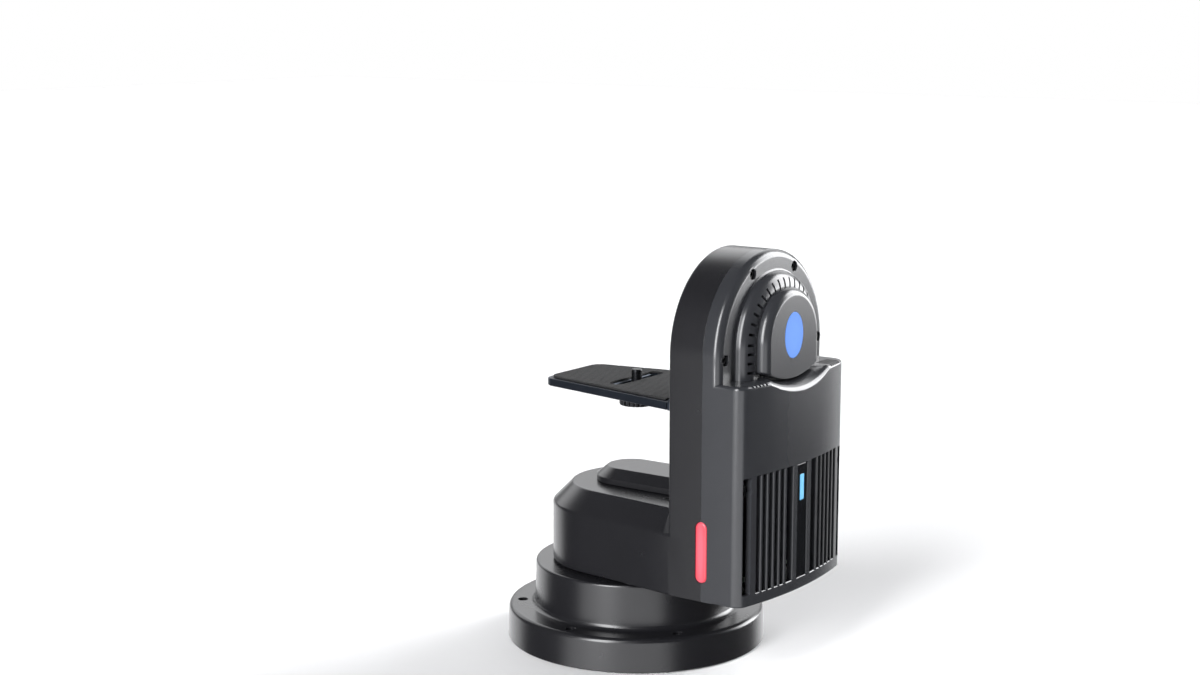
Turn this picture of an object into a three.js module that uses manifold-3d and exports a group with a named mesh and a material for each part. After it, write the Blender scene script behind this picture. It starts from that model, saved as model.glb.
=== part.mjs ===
// Remote pan tilt head: a round cast base, a turret that pans on it, a side arm that carries a tilting
// camera tray. Millimetres, +Z up. The origin is on the pan axis at the underside of the base, +X runs
// from the pan axis to the outer face of the arm, and the camera looks along -Y.
import * as THREE from "three";
import { mergeVertices, toCreasedNormals } from "three/addons/utils/BufferGeometryUtils.js";
import Module from "manifold-3d";

const wasm = await Module();
wasm.setup();

// Driving dimensions of the outside
const flangeRadius = 75;
const flangeHeight = 19.2;
const flangeLedge = 16;
const drumHeight = 25.9;
const neckGap = 1.1;
const turretFlare = 5.9;
const turretWallHeight = 33.8;
const turretChamfer = 11.5;
const armHalfDepth = 54.3;
const armCastDepth = 21.7;
const annulusDepth = 10.5;
const coverCornerDepth = 24.7;
const coverCrown = 6;
const tiltAxisRise = 87;
const ledgeDrop = 12.1;
const louvreFoot = 6.6;
const louvreReach = 70.8;
const castWall = 3;
const coverWall = 3.2;

// Clearances and facet counts
const fitGap = 0.3;
const runningGap = 1;
const cutOverrun = 2;
const wideSegments = 36;
const innerSegments = 20;
const ringSegments = 16;
const boreSegments = 12;
const holeSegments = 8;
const smallSegments = 6;
const archSegments = 9;
const inside = { curveSegments: 4 };
const filletSegments = 2;
const creaseAngle = Math.PI / 5;
const halfTurn = Math.PI;
const quarterTurn = Math.PI / 2;

// Gears and motors, which both drives share
const gearModule = 1.8;
const gearTeeth = 30;
const pinionTeeth = 10;
const gearFace = 6.4;
const gearBacklash = 0.36;
const addendumShare = 0.9;
const dedendumShare = 1.2;
const pressureAngle = THREE.MathUtils.degToRad(20);
const gearCentres = (gearModule * (gearTeeth + pinionTeeth)) / 2;
const motorHalf = 14.1;
const motorChamfer = 3;
const motorLength = 15;
const motorShaftRadius = 2.5;
const motorShaftInsert = 4;
const motorEndGap = 5.4;

// Places that several pieces share
const drumRadius = flangeRadius - flangeLedge;
const drumTop = flangeHeight + drumHeight;
const turretBottom = drumTop + neckGap;
const turretRadius = armHalfDepth - turretFlare;
const turretWallTop = turretBottom + turretWallHeight;
const turretTop = turretWallTop + turretChamfer;
const plateSeatZ = turretBottom + fitGap;
const armInnerX = gearCentres + motorHalf + motorEndGap + castWall + fitGap;
const partingX = armInnerX + armCastDepth;
const annulusX = partingX + annulusDepth;
const coverCornerX = partingX + coverCornerDepth;
const tiltAxisZ = turretTop + tiltAxisRise;
const ledgeZ = tiltAxisZ - ledgeDrop;
const louvreLow = turretBottom + louvreFoot;
const louvreHigh = turretBottom + louvreReach;
const coverStartX = partingX + fitGap;
const coverCrownRadius = (armHalfDepth ** 2 + coverCrown ** 2) / (2 * coverCrown);
const coverCrownCentreX = coverCornerX + coverCrown - coverCrownRadius;

// Geometry helpers
function solid(geometry) {
  const bare = geometry.index ? geometry.toNonIndexed() : geometry.clone();
  bare.deleteAttribute("normal");
  bare.deleteAttribute("uv");
  const merged = mergeVertices(bare, 1e-4);
  const corners = merged.index.array;
  const kept = [];
  for (let i = 0; i < corners.length; i += 3) {
    const [a, b, c] = corners.slice(i, i + 3);
    if (a !== b && b !== c && c !== a) kept.push(a, b, c);
  }
  const vertProperties = new Float32Array(merged.attributes.position.array);
  const triVerts = new Uint32Array(kept);
  return new wasm.Manifold(new wasm.Mesh({ numProp: 3, vertProperties, triVerts }));
}

function join(...parts) {
  return parts.reduce((whole, part) => whole.add(part));
}

function cut(body, ...tools) {
  return tools.reduce((rest, tool) => rest.subtract(tool), body);
}

function meshOf(name, body, material, place = [0, 0, 0]) {
  const { vertProperties, triVerts } = body.getMesh();
  const geometry = new THREE.BufferGeometry();
  geometry.setAttribute("position", new THREE.BufferAttribute(new Float32Array(vertProperties), 3));
  geometry.setIndex(new THREE.BufferAttribute(new Uint32Array(triVerts), 1));
  const mesh = new THREE.Mesh(toCreasedNormals(geometry, creaseAngle), material);
  mesh.name = name;
  mesh.position.set(...place);
  return mesh;
}

// An outline drawn in (Y, Z) is extruded along +X, one in (X, Z) along -Y, and one in (X, Y) along +Z.
const alongX = new THREE.Matrix4().makeBasis(
  new THREE.Vector3(0, 1, 0), new THREE.Vector3(0, 0, 1), new THREE.Vector3(1, 0, 0));
const alongMinusY = new THREE.Matrix4().makeBasis(
  new THREE.Vector3(1, 0, 0), new THREE.Vector3(0, 0, 1), new THREE.Vector3(0, -1, 0));

function prism(shape, low, high, options = {}) {
  const { edge = 0, inset = edge, segments = filletSegments, curveSegments = archSegments } = options;
  const geometry = new THREE.ExtrudeGeometry(shape, {
    depth: high - low - 2 * edge,
    bevelEnabled: edge > 0,
    bevelThickness: edge,
    bevelSize: inset,
    bevelOffset: -inset,
    bevelSegments: segments,
    curveSegments,
  });
  return geometry.translate(0, 0, low + edge);
}

function prismZ(shape, low, high, options) {
  return solid(prism(shape, low, high, options));
}

function prismX(shape, low, high, options) {
  return solid(prism(shape, low, high, options).applyMatrix4(alongX));
}

// The faces of a prism along Y are given by their own Y, so low and high change places with the sign.
function prismY(shape, low, high, options) {
  return solid(prism(shape, -high, -low, options).applyMatrix4(alongMinusY));
}

// A prism with a rounded or bevelled far end and a square near end
function prismZRoundTop(shape, low, high, options) {
  return prismZ(shape, low - 2 * options.edge, high, options).trimByPlane([0, 0, 1], low);
}

function prismXRoundEnd(shape, low, high, options) {
  return prismX(shape, low - 2 * options.edge, high, options).trimByPlane([1, 0, 0], low);
}

function box(low, high) {
  const size = high.map((value, axis) => value - low[axis]);
  const middle = high.map((value, axis) => (value + low[axis]) / 2);
  return solid(new THREE.BoxGeometry(...size).translate(...middle));
}

function closedShape(points) {
  return new THREE.Shape(points.map(([x, y]) => new THREE.Vector2(x, y)));
}

// A profile of (radius, height) points turned about Z. The outline is put anticlockwise first.
function turned(profile, segments = ringSegments) {
  const points = profile.map(([r, z]) => new THREE.Vector2(r, z));
  if (THREE.ShapeUtils.isClockWise(points)) points.reverse();
  points.push(points[0].clone());
  return solid(new THREE.LatheGeometry(points, segments).rotateX(quarterTurn));
}

function turnedX(profile, segments) {
  return turned(profile, segments).rotate([0, 90, 0]);
}

function ring(inner, outer, low, high, segments) {
  return turned([[inner, low], [outer, low], [outer, high], [inner, high]], segments);
}

function rod(radius, low, high, segments) {
  return ring(0, radius, low, high, segments);
}

function ringX(inner, outer, low, high, segments) {
  return ring(inner, outer, low, high, segments).rotate([0, 90, 0]);
}

function rodX(radius, low, high, segments) {
  return ringX(0, radius, low, high, segments);
}

function fillet(centreR, centreZ, radius, from, to, steps = filletSegments) {
  const points = [];
  for (let i = 0; i <= steps; i++) {
    const angle = from + (to - from) * (i / steps);
    points.push([centreR + radius * Math.cos(angle), centreZ + radius * Math.sin(angle)]);
  }
  return points;
}

function polar(radius, degrees) {
  const angle = THREE.MathUtils.degToRad(degrees);
  return [radius * Math.cos(angle), radius * Math.sin(angle)];
}

function atXY(body, places) {
  return join(...places.map(([x, y]) => body.translate([x, y, 0])));
}

function atYZ(body, places) {
  return join(...places.map(([y, z]) => body.translate([0, y, z])));
}

function mirrored(places) {
  return places.flatMap(([u, v]) => [[-u, v], [u, v]]);
}

// An arch: a flat foot, two straight sides and a half-round top
function archShape(halfWidth, footZ, centreZ) {
  const shape = new THREE.Shape();
  shape.moveTo(-halfWidth, footZ);
  shape.lineTo(halfWidth, footZ);
  shape.absarc(0, centreZ, halfWidth, 0, halfTurn, false);
  shape.closePath();
  return shape;
}

// A slot with round ends, along the first axis when halfLengthU is the longer
function slotShape(centreU, centreV, halfLengthU, halfLengthV) {
  const radius = Math.min(halfLengthU, halfLengthV);
  const reachU = halfLengthU - radius;
  const reachV = halfLengthV - radius;
  const shape = new THREE.Shape();
  shape.absarc(centreU + reachU, centreV + reachV, radius, 0, quarterTurn, false);
  shape.absarc(centreU - reachU, centreV + reachV, radius, quarterTurn, halfTurn, false);
  shape.absarc(centreU - reachU, centreV - reachV, radius, halfTurn, 3 * quarterTurn, false);
  shape.absarc(centreU + reachU, centreV - reachV, radius, 3 * quarterTurn, 4 * quarterTurn, false);
  shape.closePath();
  return shape;
}

function roundedShape(lowU, lowV, highU, highV, radius) {
  const shape = new THREE.Shape();
  shape.absarc(highU - radius, highV - radius, radius, 0, quarterTurn, false);
  shape.absarc(lowU + radius, highV - radius, radius, quarterTurn, halfTurn, false);
  shape.absarc(lowU + radius, lowV + radius, radius, halfTurn, 3 * quarterTurn, false);
  shape.absarc(highU - radius, lowV + radius, radius, 3 * quarterTurn, 4 * quarterTurn, false);
  shape.closePath();
  return shape;
}

// Fasteners: a cap screw whose head sits on z = 0 with its shank going down. Where a screw is one piece
// with the part that it holds, its head is let into that part a little.
const screwShankRadius = 1.5;
const screwHeadRadius = 2.6;
const screwHeadHeight = 2;
const screwHoleRadius = screwShankRadius + fitGap;
const letIn = 0.4;
const counterboreRadius = screwHeadRadius + fitGap;

function capScrew(length) {
  return turned([[0, -length], [screwShankRadius, -length], [screwShankRadius, 0], [screwHeadRadius, 0],
    [screwHeadRadius, screwHeadHeight], [0, screwHeadHeight]], smallSegments);
}

function letInScrew(length) {
  return capScrew(length).translate([0, 0, -letIn]);
}

// Spur gears of one pair: straight-sided teeth on an involute's root and tip widths
function gearShape(teeth, boreRadius, phase) {
  const pitchRadius = (gearModule * teeth) / 2;
  const baseRadius = pitchRadius * Math.cos(pressureAngle);
  const involute = (radius) => {
    const angle = Math.acos(Math.min(1, baseRadius / radius));
    return Math.tan(angle) - angle;
  };
  const pitchHalfAngle = ((halfTurn * gearModule) / 2 - gearBacklash) / (2 * pitchRadius);
  const halfAngle = (radius) => pitchHalfAngle + involute(pitchRadius) - involute(radius);
  const root = pitchRadius - dedendumShare * gearModule;
  const tip = pitchRadius + addendumShare * gearModule;
  const points = [];
  for (let i = 0; i < teeth; i++) {
    const middle = phase + (2 * halfTurn * i) / teeth;
    for (const [radius, side] of [[root, -1], [tip, -1], [tip, 1], [root, 1]]) {
      const angle = middle + side * halfAngle(radius);
      points.push([radius * Math.cos(angle), radius * Math.sin(angle)]);
    }
  }
  const shape = closedShape(points);
  const bore = new THREE.Path();
  bore.absarc(0, 0, boreRadius, 0, 2 * halfTurn, true);
  shape.holes.push(bore);
  return shape;
}

// Materials
function finish(color, roughness, metalness) {
  return new THREE.MeshStandardMaterial({ color, roughness, metalness });
}

const castPaint = finish(0x3a3b3f, 0.42, 0.3);
const mouldedPlastic = finish(0x46474b, 0.45, 0.1);
const blackPlastic = finish(0x18191b, 0.5, 0);
const blackRubber = finish(0x141415, 0.85, 0);
const darkAnodised = finish(0x2b2f36, 0.4, 0.7);
const bareAluminium = finish(0xb4b6b9, 0.4, 0.9);
const steel = finish(0xa8a9ab, 0.3, 1);
const blackSteel = finish(0x222324, 0.4, 0.8);
const brass = finish(0xb5964f, 0.35, 1);
const boardGreen = finish(0x1d4a33, 0.5, 0);
const redLens = finish(0xff5a6e, 0.3, 0);
const blueLens = finish(0x69a0ff, 0.3, 0);
const blueTag = finish(0x6fc3ee, 0.5, 0);

// Base housing: flange, hollow drum, screw bosses and the window of the connector panel
const flangeDraft = 0.7;
const flangeFillet = 2.7;
const drumDraft = 0.6;
const drumCove = 3;
const drumFillet = 1.4;
const baseWall = 4;
const basePlateThickness = 3;
const basePlateMargin = 3;
const drumOpeningRadius = 24;
const mountHoleEdge = 8.6;
const mountHoleAngles = [-144.5, -88.5, -34.5, 34.5, 88.5, 144.5];
const mountHoleRadius = 2.6;
const mountBoreRadius = 4;
const mountBoreDepth = 4.2;
const plateBossInset = 2.9;
const plateBossRadius = 4;
const plateBossHeight = 12;
const plateBossAngles = [20, 160, 200, 340];
const networkSocketSize = [16, 17, 11.2];
const powerSocketSize = [12, 13, 11];
const networkSocketGap = 2;
const powerSocketGap = 3;
const panelEdge = 2.5;
const panelSide = 0.54;
const panelFoot = 0.9;
const panelHead = 4;
const panelThickness = 2;
const flangeTopRadius = flangeRadius - flangeDraft;
const drumTopRadius = drumRadius - drumDraft;
const socketPitch = networkSocketSize[0] + networkSocketGap;
const socketRow = socketPitch + networkSocketSize[0] + powerSocketGap + powerSocketSize[0];
const firstSocketPlace = (networkSocketSize[0] - socketRow) / 2;
const networkSocketPlaces = [firstSocketPlace, firstSocketPlace + socketPitch];
const powerSocketPlace = (socketRow - powerSocketSize[0]) / 2;
const panelHalfWidth = socketRow / 2 + panelEdge;
const panelFace = Math.sqrt(drumTopRadius ** 2 - (panelHalfWidth + panelSide) ** 2);
const panelLow = flangeHeight + drumCove + panelFoot;
const basePlateTop = basePlateThickness + fitGap;
const drumInnerRadius = drumTopRadius - baseWall;
const drumCeiling = drumTop - baseWall;
const basePlateRadius = flangeRadius - basePlateMargin - fitGap;
const postFlangeRadius = 34;
const postScrewInset = 4;
const postScrewAngles = [30, 150, 270];
const mountHoleCircle = flangeRadius - mountHoleEdge;
const plateBossCircle = drumInnerRadius - plateBossInset;
const postScrewCircle = postFlangeRadius - postScrewInset;
const mountPlaces = mountHoleAngles.map((angle) => polar(mountHoleCircle, angle));
const plateBossPlaces = plateBossAngles.map((angle) => polar(plateBossCircle, angle));
const postScrewPlaces = postScrewAngles.map((angle) => polar(postScrewCircle, angle));

function makeBaseHousing() {
  const skin = turned([
    [0, 0],
    [flangeRadius, 0],
    ...fillet(flangeTopRadius - flangeFillet, flangeHeight - flangeFillet, flangeFillet, 0, quarterTurn),
    ...fillet(drumRadius + drumCove, flangeHeight + drumCove, drumCove, 3 * quarterTurn, halfTurn),
    ...fillet(drumTopRadius - drumFillet, drumTop - drumFillet, drumFillet, 0, quarterTurn, 2),
    [0, drumTop],
  ], wideSegments);
  const plateBosses = atXY(rod(plateBossRadius, basePlateTop, plateBossHeight, smallSegments),
    plateBossPlaces);
  const hollow = rod(drumInnerRadius, -cutOverrun, drumCeiling, innerSegments);
  const cast = join(cut(skin, hollow), plateBosses);
  const mountHoles = atXY(rod(mountHoleRadius, -cutOverrun, flangeHeight + cutOverrun, holeSegments),
    mountPlaces);
  const mountBores = atXY(rod(mountBoreRadius, flangeHeight - mountBoreDepth, flangeHeight + cutOverrun,
    boreSegments), mountPlaces);
  const plateHoles = atXY(rod(screwHoleRadius, -cutOverrun, plateBossHeight - cutOverrun, smallSegments),
    plateBossPlaces);
  const postHoles = atXY(rod(screwHoleRadius, drumCeiling - cutOverrun, drumTop - baseWall / 4,
    smallSegments), postScrewPlaces);
  const panelWindow = box([-panelHalfWidth, panelFace - baseWall * 2, panelLow],
    [panelHalfWidth, drumRadius + cutOverrun, panelHigh]);
  return cut(cast, rod(basePlateRadius + fitGap, -cutOverrun, basePlateTop, wideSegments),
    rod(drumOpeningRadius, 0, drumTop + cutOverrun), panelWindow, mountHoles, mountBores, plateHoles,
    postHoles);
}

// The bottom plate holds its screws and the pressed-in standoffs of the circuit board.
function makeBottomPlate() {
  const plate = rod(basePlateRadius, 0, basePlateThickness, wideSegments);
  const mountHoles = atXY(rod(mountHoleRadius, -cutOverrun, basePlateThickness + cutOverrun, holeSegments),
    mountPlaces);
  const counterbores = atXY(rod(counterboreRadius, -cutOverrun, screwHeadHeight, smallSegments),
    plateBossPlaces);
  const screw = letInScrew(plateBossHeight - basePlateThickness - cutOverrun).rotate([180, 0, 0])
    .translate([0, 0, screwHeadHeight]);
  const standoffs = atXY(rod(standoffRadius, basePlateThickness / 2, boardLow - fitGap, smallSegments),
    boardStandoffPlaces);
  return join(cut(plate, mountHoles, counterbores), atXY(screw, plateBossPlaces), standoffs);
}

// Flange screws: socket screws in the four holes beside the drum's front and back
const flangeScrewHeadRadius = 3.6;
const flangeScrewHeadHeight = 2.8;
const flangeScrewShankRadius = 2.2;
const flangeScrewSocketRadius = 1.7;
const flangeScrewSocketDepth = 1.6;
const flangeScrewAngles = [-88.5, -34.5, 34.5, 88.5];

function makeFlangeScrew() {
  const seat = flangeHeight - mountBoreDepth + fitGap;
  const top = seat + flangeScrewHeadHeight;
  const body = turned([[0, basePlateTop], [flangeScrewShankRadius, basePlateTop],
    [flangeScrewShankRadius, seat], [flangeScrewHeadRadius, seat], [flangeScrewHeadRadius, top], [0, top]],
    holeSegments);
  return cut(body, rod(flangeScrewSocketRadius, top - flangeScrewSocketDepth, top + cutOverrun,
    smallSegments));
}

// Pan post: a flange with its screws under the drum's top, a bearing shoulder and a tube for the harness
const postBore = 9;
const postRadius = 13;
const postShoulderRadius = 15;
const postFlangeThickness = 4;
const panLipThickness = 0.8;
const panBearingWidth = 8.6;
const panGearGap = 0.7;
const panBearingLow = plateSeatZ + panLipThickness + fitGap;
const panBearingTop = panBearingLow + panBearingWidth;
const panGearLow = panBearingTop + panGearGap;
const clampRingHeight = 2.4;
const clampRingRadius = 17;
const postTop = panGearLow + gearFace + clampRingHeight + runningGap;
const postFlangeTop = drumCeiling - fitGap;

function makePanPost() {
  const low = postFlangeTop - postFlangeThickness;
  const post = turned([[postBore, low], [postFlangeRadius, low], [postFlangeRadius, postFlangeTop],
    [postShoulderRadius, postFlangeTop], [postShoulderRadius, panBearingLow - fitGap],
    [postRadius, panBearingLow - fitGap], [postRadius, postTop], [postBore, postTop]]);
  const screw = letInScrew(drumTop - baseWall / 2 - low).rotate([180, 0, 0]).translate([0, 0, low]);
  return join(post, atXY(screw, postScrewPlaces));
}

// Rolling bearings: an inner ring that carries the balls, and an outer ring
const ballSeat = 0.5;
const panBearing = {
  inner: postRadius + fitGap, innerWall: 3.1, ball: 1.7, outerWall: 3.2, balls: 8, width: panBearingWidth,
};
const tiltShaftRadius = 8;
const tiltBearing = {
  inner: tiltShaftRadius + fitGap, innerWall: 2.2, ball: 1.5, outerWall: 2.2, balls: 7, width: 7.4,
};

function bearingRadii({ inner, innerWall, ball, outerWall }) {
  const innerTop = inner + innerWall;
  const track = innerTop + ball - ballSeat;
  const outerBore = track + ball + 2 * fitGap;
  return { innerTop, track, outerBore, outer: outerBore + outerWall };
}

// The inner ring with its balls seated in it, from z = 0 up
function makeInnerRing(bearing, { innerTop, track }) {
  const { inner, ball, balls, width } = bearing;
  const sphere = solid(new THREE.SphereGeometry(ball, smallSegments, smallSegments / 2))
    .translate([0, 0, width / 2]);
  const places = Array.from({ length: balls }, (_, i) => polar(track, (360 * i) / balls));
  return join(ring(inner, innerTop, 0, width), atXY(sphere, places));
}

function makeOuterRing(bearing, { outerBore, outer }) {
  return ring(outerBore, outer, 0, bearing.width);
}

const panRadii = bearingRadii(panBearing);
const tiltRadii = bearingRadii(tiltBearing);

function makePanGear() {
  return prismZ(gearShape(gearTeeth, postRadius + fitGap, 0), panGearLow, panGearLow + gearFace,
    { curveSegments: ringSegments / 2 });
}

function makeClampRing() {
  const low = panGearLow + gearFace + fitGap;
  return ring(postRadius + fitGap, clampRingRadius, low, low + clampRingHeight);
}

// Connector panel, sockets and circuit board at the back of the drum
const socketFaceProud = 0.4;
const networkMouthSize = [11.8, 12, 8.6];
const powerBoreRadius = 3.2;
const powerPinRadius = 1.1;
const powerBoreDepth = 9;
const boardThickness = 1.6;
const boardMargin = 8.4;
const boardHoleEdge = 5;
const boardStandoffShares = [[-0.65, -0.26], [0.65, -0.26], [-0.61, 0.52], [0.61, 0.52]];
const standoffRadius = 3;
const boardLow = panelLow + fitGap;
const boardTop = boardLow + boardThickness;
const boardRadius = drumInnerRadius - boardMargin;
const boardFront = -postShoulderRadius - boardHoleEdge;
const boardStandoffPlaces = boardStandoffShares.map(([x, y]) => [x * boardRadius, y * boardRadius]);
const panelHigh = boardTop + fitGap + networkSocketSize[2] + panelHead;

function socketBox([width, depth, height], place, margin) {
  return [[place - width / 2 - margin, panelFace + socketFaceProud - depth, boardTop + fitGap - margin],
    [place + width / 2 + margin, panelFace + socketFaceProud, boardTop + fitGap + height + margin]];
}

function makeNetworkSocket(place) {
  const [low, high] = socketBox(networkSocketSize, place, 0);
  const [mouthWidth, mouthDepth, mouthHeight] = networkMouthSize;
  const middle = (low[2] + high[2]) / 2;
  const mouth = box([place - mouthWidth / 2, high[1] - mouthDepth, middle - mouthHeight / 2],
    [place + mouthWidth / 2, high[1] + cutOverrun, middle + mouthHeight / 2]);
  return cut(box(low, high), mouth);
}

function makePowerSocket() {
  const [low, high] = socketBox(powerSocketSize, powerSocketPlace, 0);
  const middle = (low[2] + high[2]) / 2;
  const hole = ring(powerPinRadius, powerBoreRadius, -cutOverrun, powerBoreDepth, boreSegments);
  return cut(box(low, high), hole.rotate([90, 0, 0]).translate([powerSocketPlace, high[1], middle]));
}

function makePanel() {
  const plate = box([-panelHalfWidth + fitGap, panelFace - panelThickness, panelLow + fitGap],
    [panelHalfWidth - fitGap, panelFace, panelHigh - fitGap]);
  const windows = [...networkSocketPlaces.map((place) => socketBox(networkSocketSize, place, fitGap)),
    socketBox(powerSocketSize, powerSocketPlace, fitGap)].map(([low, high]) =>
    box(low, [high[0], high[1] + cutOverrun, high[2]]));
  return cut(plate, ...windows);
}

function makeBaseBoard() {
  const backY = panelFace - panelThickness - fitGap;
  const halfWidth = boardRadius - standoffRadius;
  const outline = new THREE.Shape();
  outline.moveTo(-halfWidth, boardFront);
  outline.lineTo(halfWidth, boardFront);
  outline.lineTo(halfWidth, -boardFront / 2);
  outline.lineTo(panelHalfWidth, backY - baseWall);
  outline.lineTo(panelHalfWidth - baseWall, backY);
  outline.lineTo(-panelHalfWidth + baseWall, backY);
  outline.lineTo(-panelHalfWidth, backY - baseWall);
  outline.lineTo(-halfWidth, -boardFront / 2);
  outline.closePath();
  return cut(prismZ(outline, boardLow, boardTop), rod(postShoulderRadius, 0, drumTop, boreSegments));
}

// Turret housing and inner half of the arm: two castings screwed together from inside
const turretPlanEnd = armInnerX + 2 * turretChamfer;
const armEdgeRound = 1.2;
const turretCeiling = turretTop - castWall;
const turretInnerRadius = turretRadius - castWall;
const innerChamfer = turretChamfer - castWall * Math.tan(quarterTurn / 4);
const turretEndX = armInnerX - fitGap;
const armCavityX = armInnerX + castWall;
const armInnerHalf = armHalfDepth - castWall;
const armFloor = turretBottom + castWall;
const harnessHoleRadius = 8;
const bearingLip = 1.5;
const bearingLipRadius = 10;
const tiltBearingX = armInnerX + bearingLip + fitGap;
const bearingBossWall = 3.7;
const bearingBossEnd = tiltBearingX + tiltBearing.width + runningGap;
const drivePlateX = coverStartX + fitGap;
const drivePlateThickness = 3.5;
const drivePlateInset = 18.3;
const drivePlateRise = 30.5;
const drivePlateDrop = 57.5;
const drivePostRadius = 3.6;
const drivePostInset = 4.6;
const drivePlateHalf = armHalfDepth - drivePlateInset;
const drivePlateLow = tiltAxisZ - drivePlateDrop;
const drivePlateHigh = tiltAxisZ + drivePlateRise;
const drivePostHalf = drivePlateHalf - drivePostInset;
const drivePostPlaces = mirrored([[drivePostHalf, drivePlateHigh - drivePostInset],
  [drivePostHalf, drivePlateLow + drivePostInset]]);
const coverScrewInset = 6.1;
const coverScrewAngles = [0, 63.4, 116.6, 180];
const pocketScrewInset = 5.7;
const pocketScrewDrop = 7.5;
const coverBossRadius = 4;
const mainBoardStandoff = 5.5;
const mainBoardInset = 13.3;
const mainBoardFoot = 1.2;
const mainBoardMotorGap = 10.4;
const boardPostInset = 5;
const motorZ = tiltAxisZ - gearCentres;
const coverScrewCircle = armHalfDepth - coverScrewInset;
const pocketScrewHalf = armHalfDepth - pocketScrewInset;
const pocketScrewZ = louvreHigh - pocketScrewDrop;
const mainBoardX = partingX + mainBoardStandoff;
const mainBoardHalf = armHalfDepth - mainBoardInset;
const mainBoardLow = armFloor + mainBoardFoot;
const mainBoardHigh = motorZ - motorHalf - mainBoardMotorGap;
const boardPostRadius = 4.4;
const boardPostPlaces = mirrored([[mainBoardHalf - boardPostInset, armFloor + boardPostRadius - runningGap],
  [mainBoardHalf - boardPostInset, mainBoardHigh - boardPostInset]]);
const turretPlateScrewInset = 4.2;
const turretPlateScrews = 5;
const turretPlateBossRadius = 4.7;
const turretPlateThickness = 3.5;
const turretPlateTop = plateSeatZ + turretPlateThickness;
const turretPlateBossHeight = panGearLow - runningGap - turretPlateTop;
const turretPlateScrewPlaces = spreadRound(turretInnerRadius - turretPlateScrewInset, turretPlateScrews,
  THREE.MathUtils.radToDeg(flareStart(castWall)));
const pilotDepth = 8;
const jointScrewInset = 14.3;
const jointScrewFoot = 15.8;
const jointScrewHalf = armHalfDepth - jointScrewInset;
const jointScrewPlaces = mirrored([[jointScrewHalf, turretBottom + jointScrewFoot],
  [jointScrewHalf, turretWallTop - runningGap]]);
const harnessWindowMargin = 16;
const harnessWindowFoot = 11.8;
const harnessWindowHead = 2;
const harnessWindowHalf = jointScrewHalf - harnessWindowMargin;
const harnessWindowLow = turretBottom + harnessWindowFoot;
const harnessWindowHigh = turretWallTop + harnessWindowHead;
const coverScrewPlaces = [
  ...coverScrewAngles.map((angle) => {
    const [y, z] = polar(coverScrewCircle, angle);
    return [y, tiltAxisZ + z];
  }),
  ...mirrored([[pocketScrewHalf, pocketScrewZ]]),
];

// Tally light: a bar with round ends on the parting line of the front face
const tallyHalfWidth = 3.4;
const tallyHalfHeight = 16.7;
const tallyRise = 27.3;
const tallyZ = turretBottom + tallyRise;
const tallyProud = 0.3;
const tallyFlange = 2.2;
const tallyFlangeThickness = 1.4;

// The angle at which the turret's round nose runs into the flare, with a given inset
function flareStart(inset) {
  const half = armHalfDepth - inset;
  return Math.atan2(half, armInnerX) + Math.acos((turretRadius - inset) / Math.hypot(armInnerX, half));
}

// Places on a circle, evenly spread round its -X side from one angle to its mirror image
function spreadRound(radius, count, from) {
  return Array.from({ length: count }, (_, i) => polar(radius, from + ((360 - 2 * from) * i) / (count - 1)));
}

// The turret's plan: a half-round nose that flares to the depth of the arm, with a given inset
function turretPlan(inset) {
  const half = armHalfDepth - inset;
  const tangent = flareStart(inset);
  const shape = new THREE.Shape();
  shape.absarc(0, 0, turretRadius - inset, tangent, 2 * halfTurn - tangent, false);
  shape.lineTo(armInnerX, -half);
  shape.lineTo(turretPlanEnd - inset, -half);
  shape.lineTo(turretPlanEnd - inset, half);
  shape.lineTo(armInnerX, half);
  shape.closePath();
  return shape;
}

// The turret housing is open below and carries the screws that hold it to the arm.
function makeTurretHousing() {
  const skin = prismZRoundTop(turretPlan(0), turretBottom, turretTop, { edge: turretChamfer, segments: 1 })
    .trimByPlane([-1, 0, 0], -turretEndX);
  const cavity = prismZRoundTop(turretPlan(castWall), armFloor, turretCeiling,
    { edge: innerChamfer, segments: 1, ...inside }).trimByPlane([-1, 0, 0], castWall - turretEndX);
  const bottomOpening = rod(turretInnerRadius, turretBottom - cutOverrun, armFloor + cutOverrun,
    innerSegments);
  const harnessHole = rod(harnessHoleRadius, turretCeiling - cutOverrun, turretTop + cutOverrun,
    boreSegments);
  const plateBosses = atXY(rod(turretPlateBossRadius, turretPlateTop + fitGap,
    turretPlateTop + turretPlateBossHeight, smallSegments), turretPlateScrewPlaces);
  const platePilots = atXY(rod(screwHoleRadius, plateSeatZ, turretPlateTop + pilotDepth, smallSegments),
    turretPlateScrewPlaces);
  const topScrewHoles = atXY(join(
    rod(screwHoleRadius, turretCeiling - cutOverrun, turretTop + cutOverrun, smallSegments),
    rod(counterboreRadius, turretTop - screwHeadHeight, turretTop + cutOverrun, boreSegments)),
    turretScrewPlaces);
  const screw = letInScrew(castWall + pilotDepth).rotate([0, -90, 0])
    .translate([turretEndX - castWall, 0, 0]);
  const housing = cut(join(cut(skin, cavity, bottomOpening, harnessHole), plateBosses), platePilots,
    topScrewHoles, harnessWindow());
  return join(housing, atYZ(screw, jointScrewPlaces));
}

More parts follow.
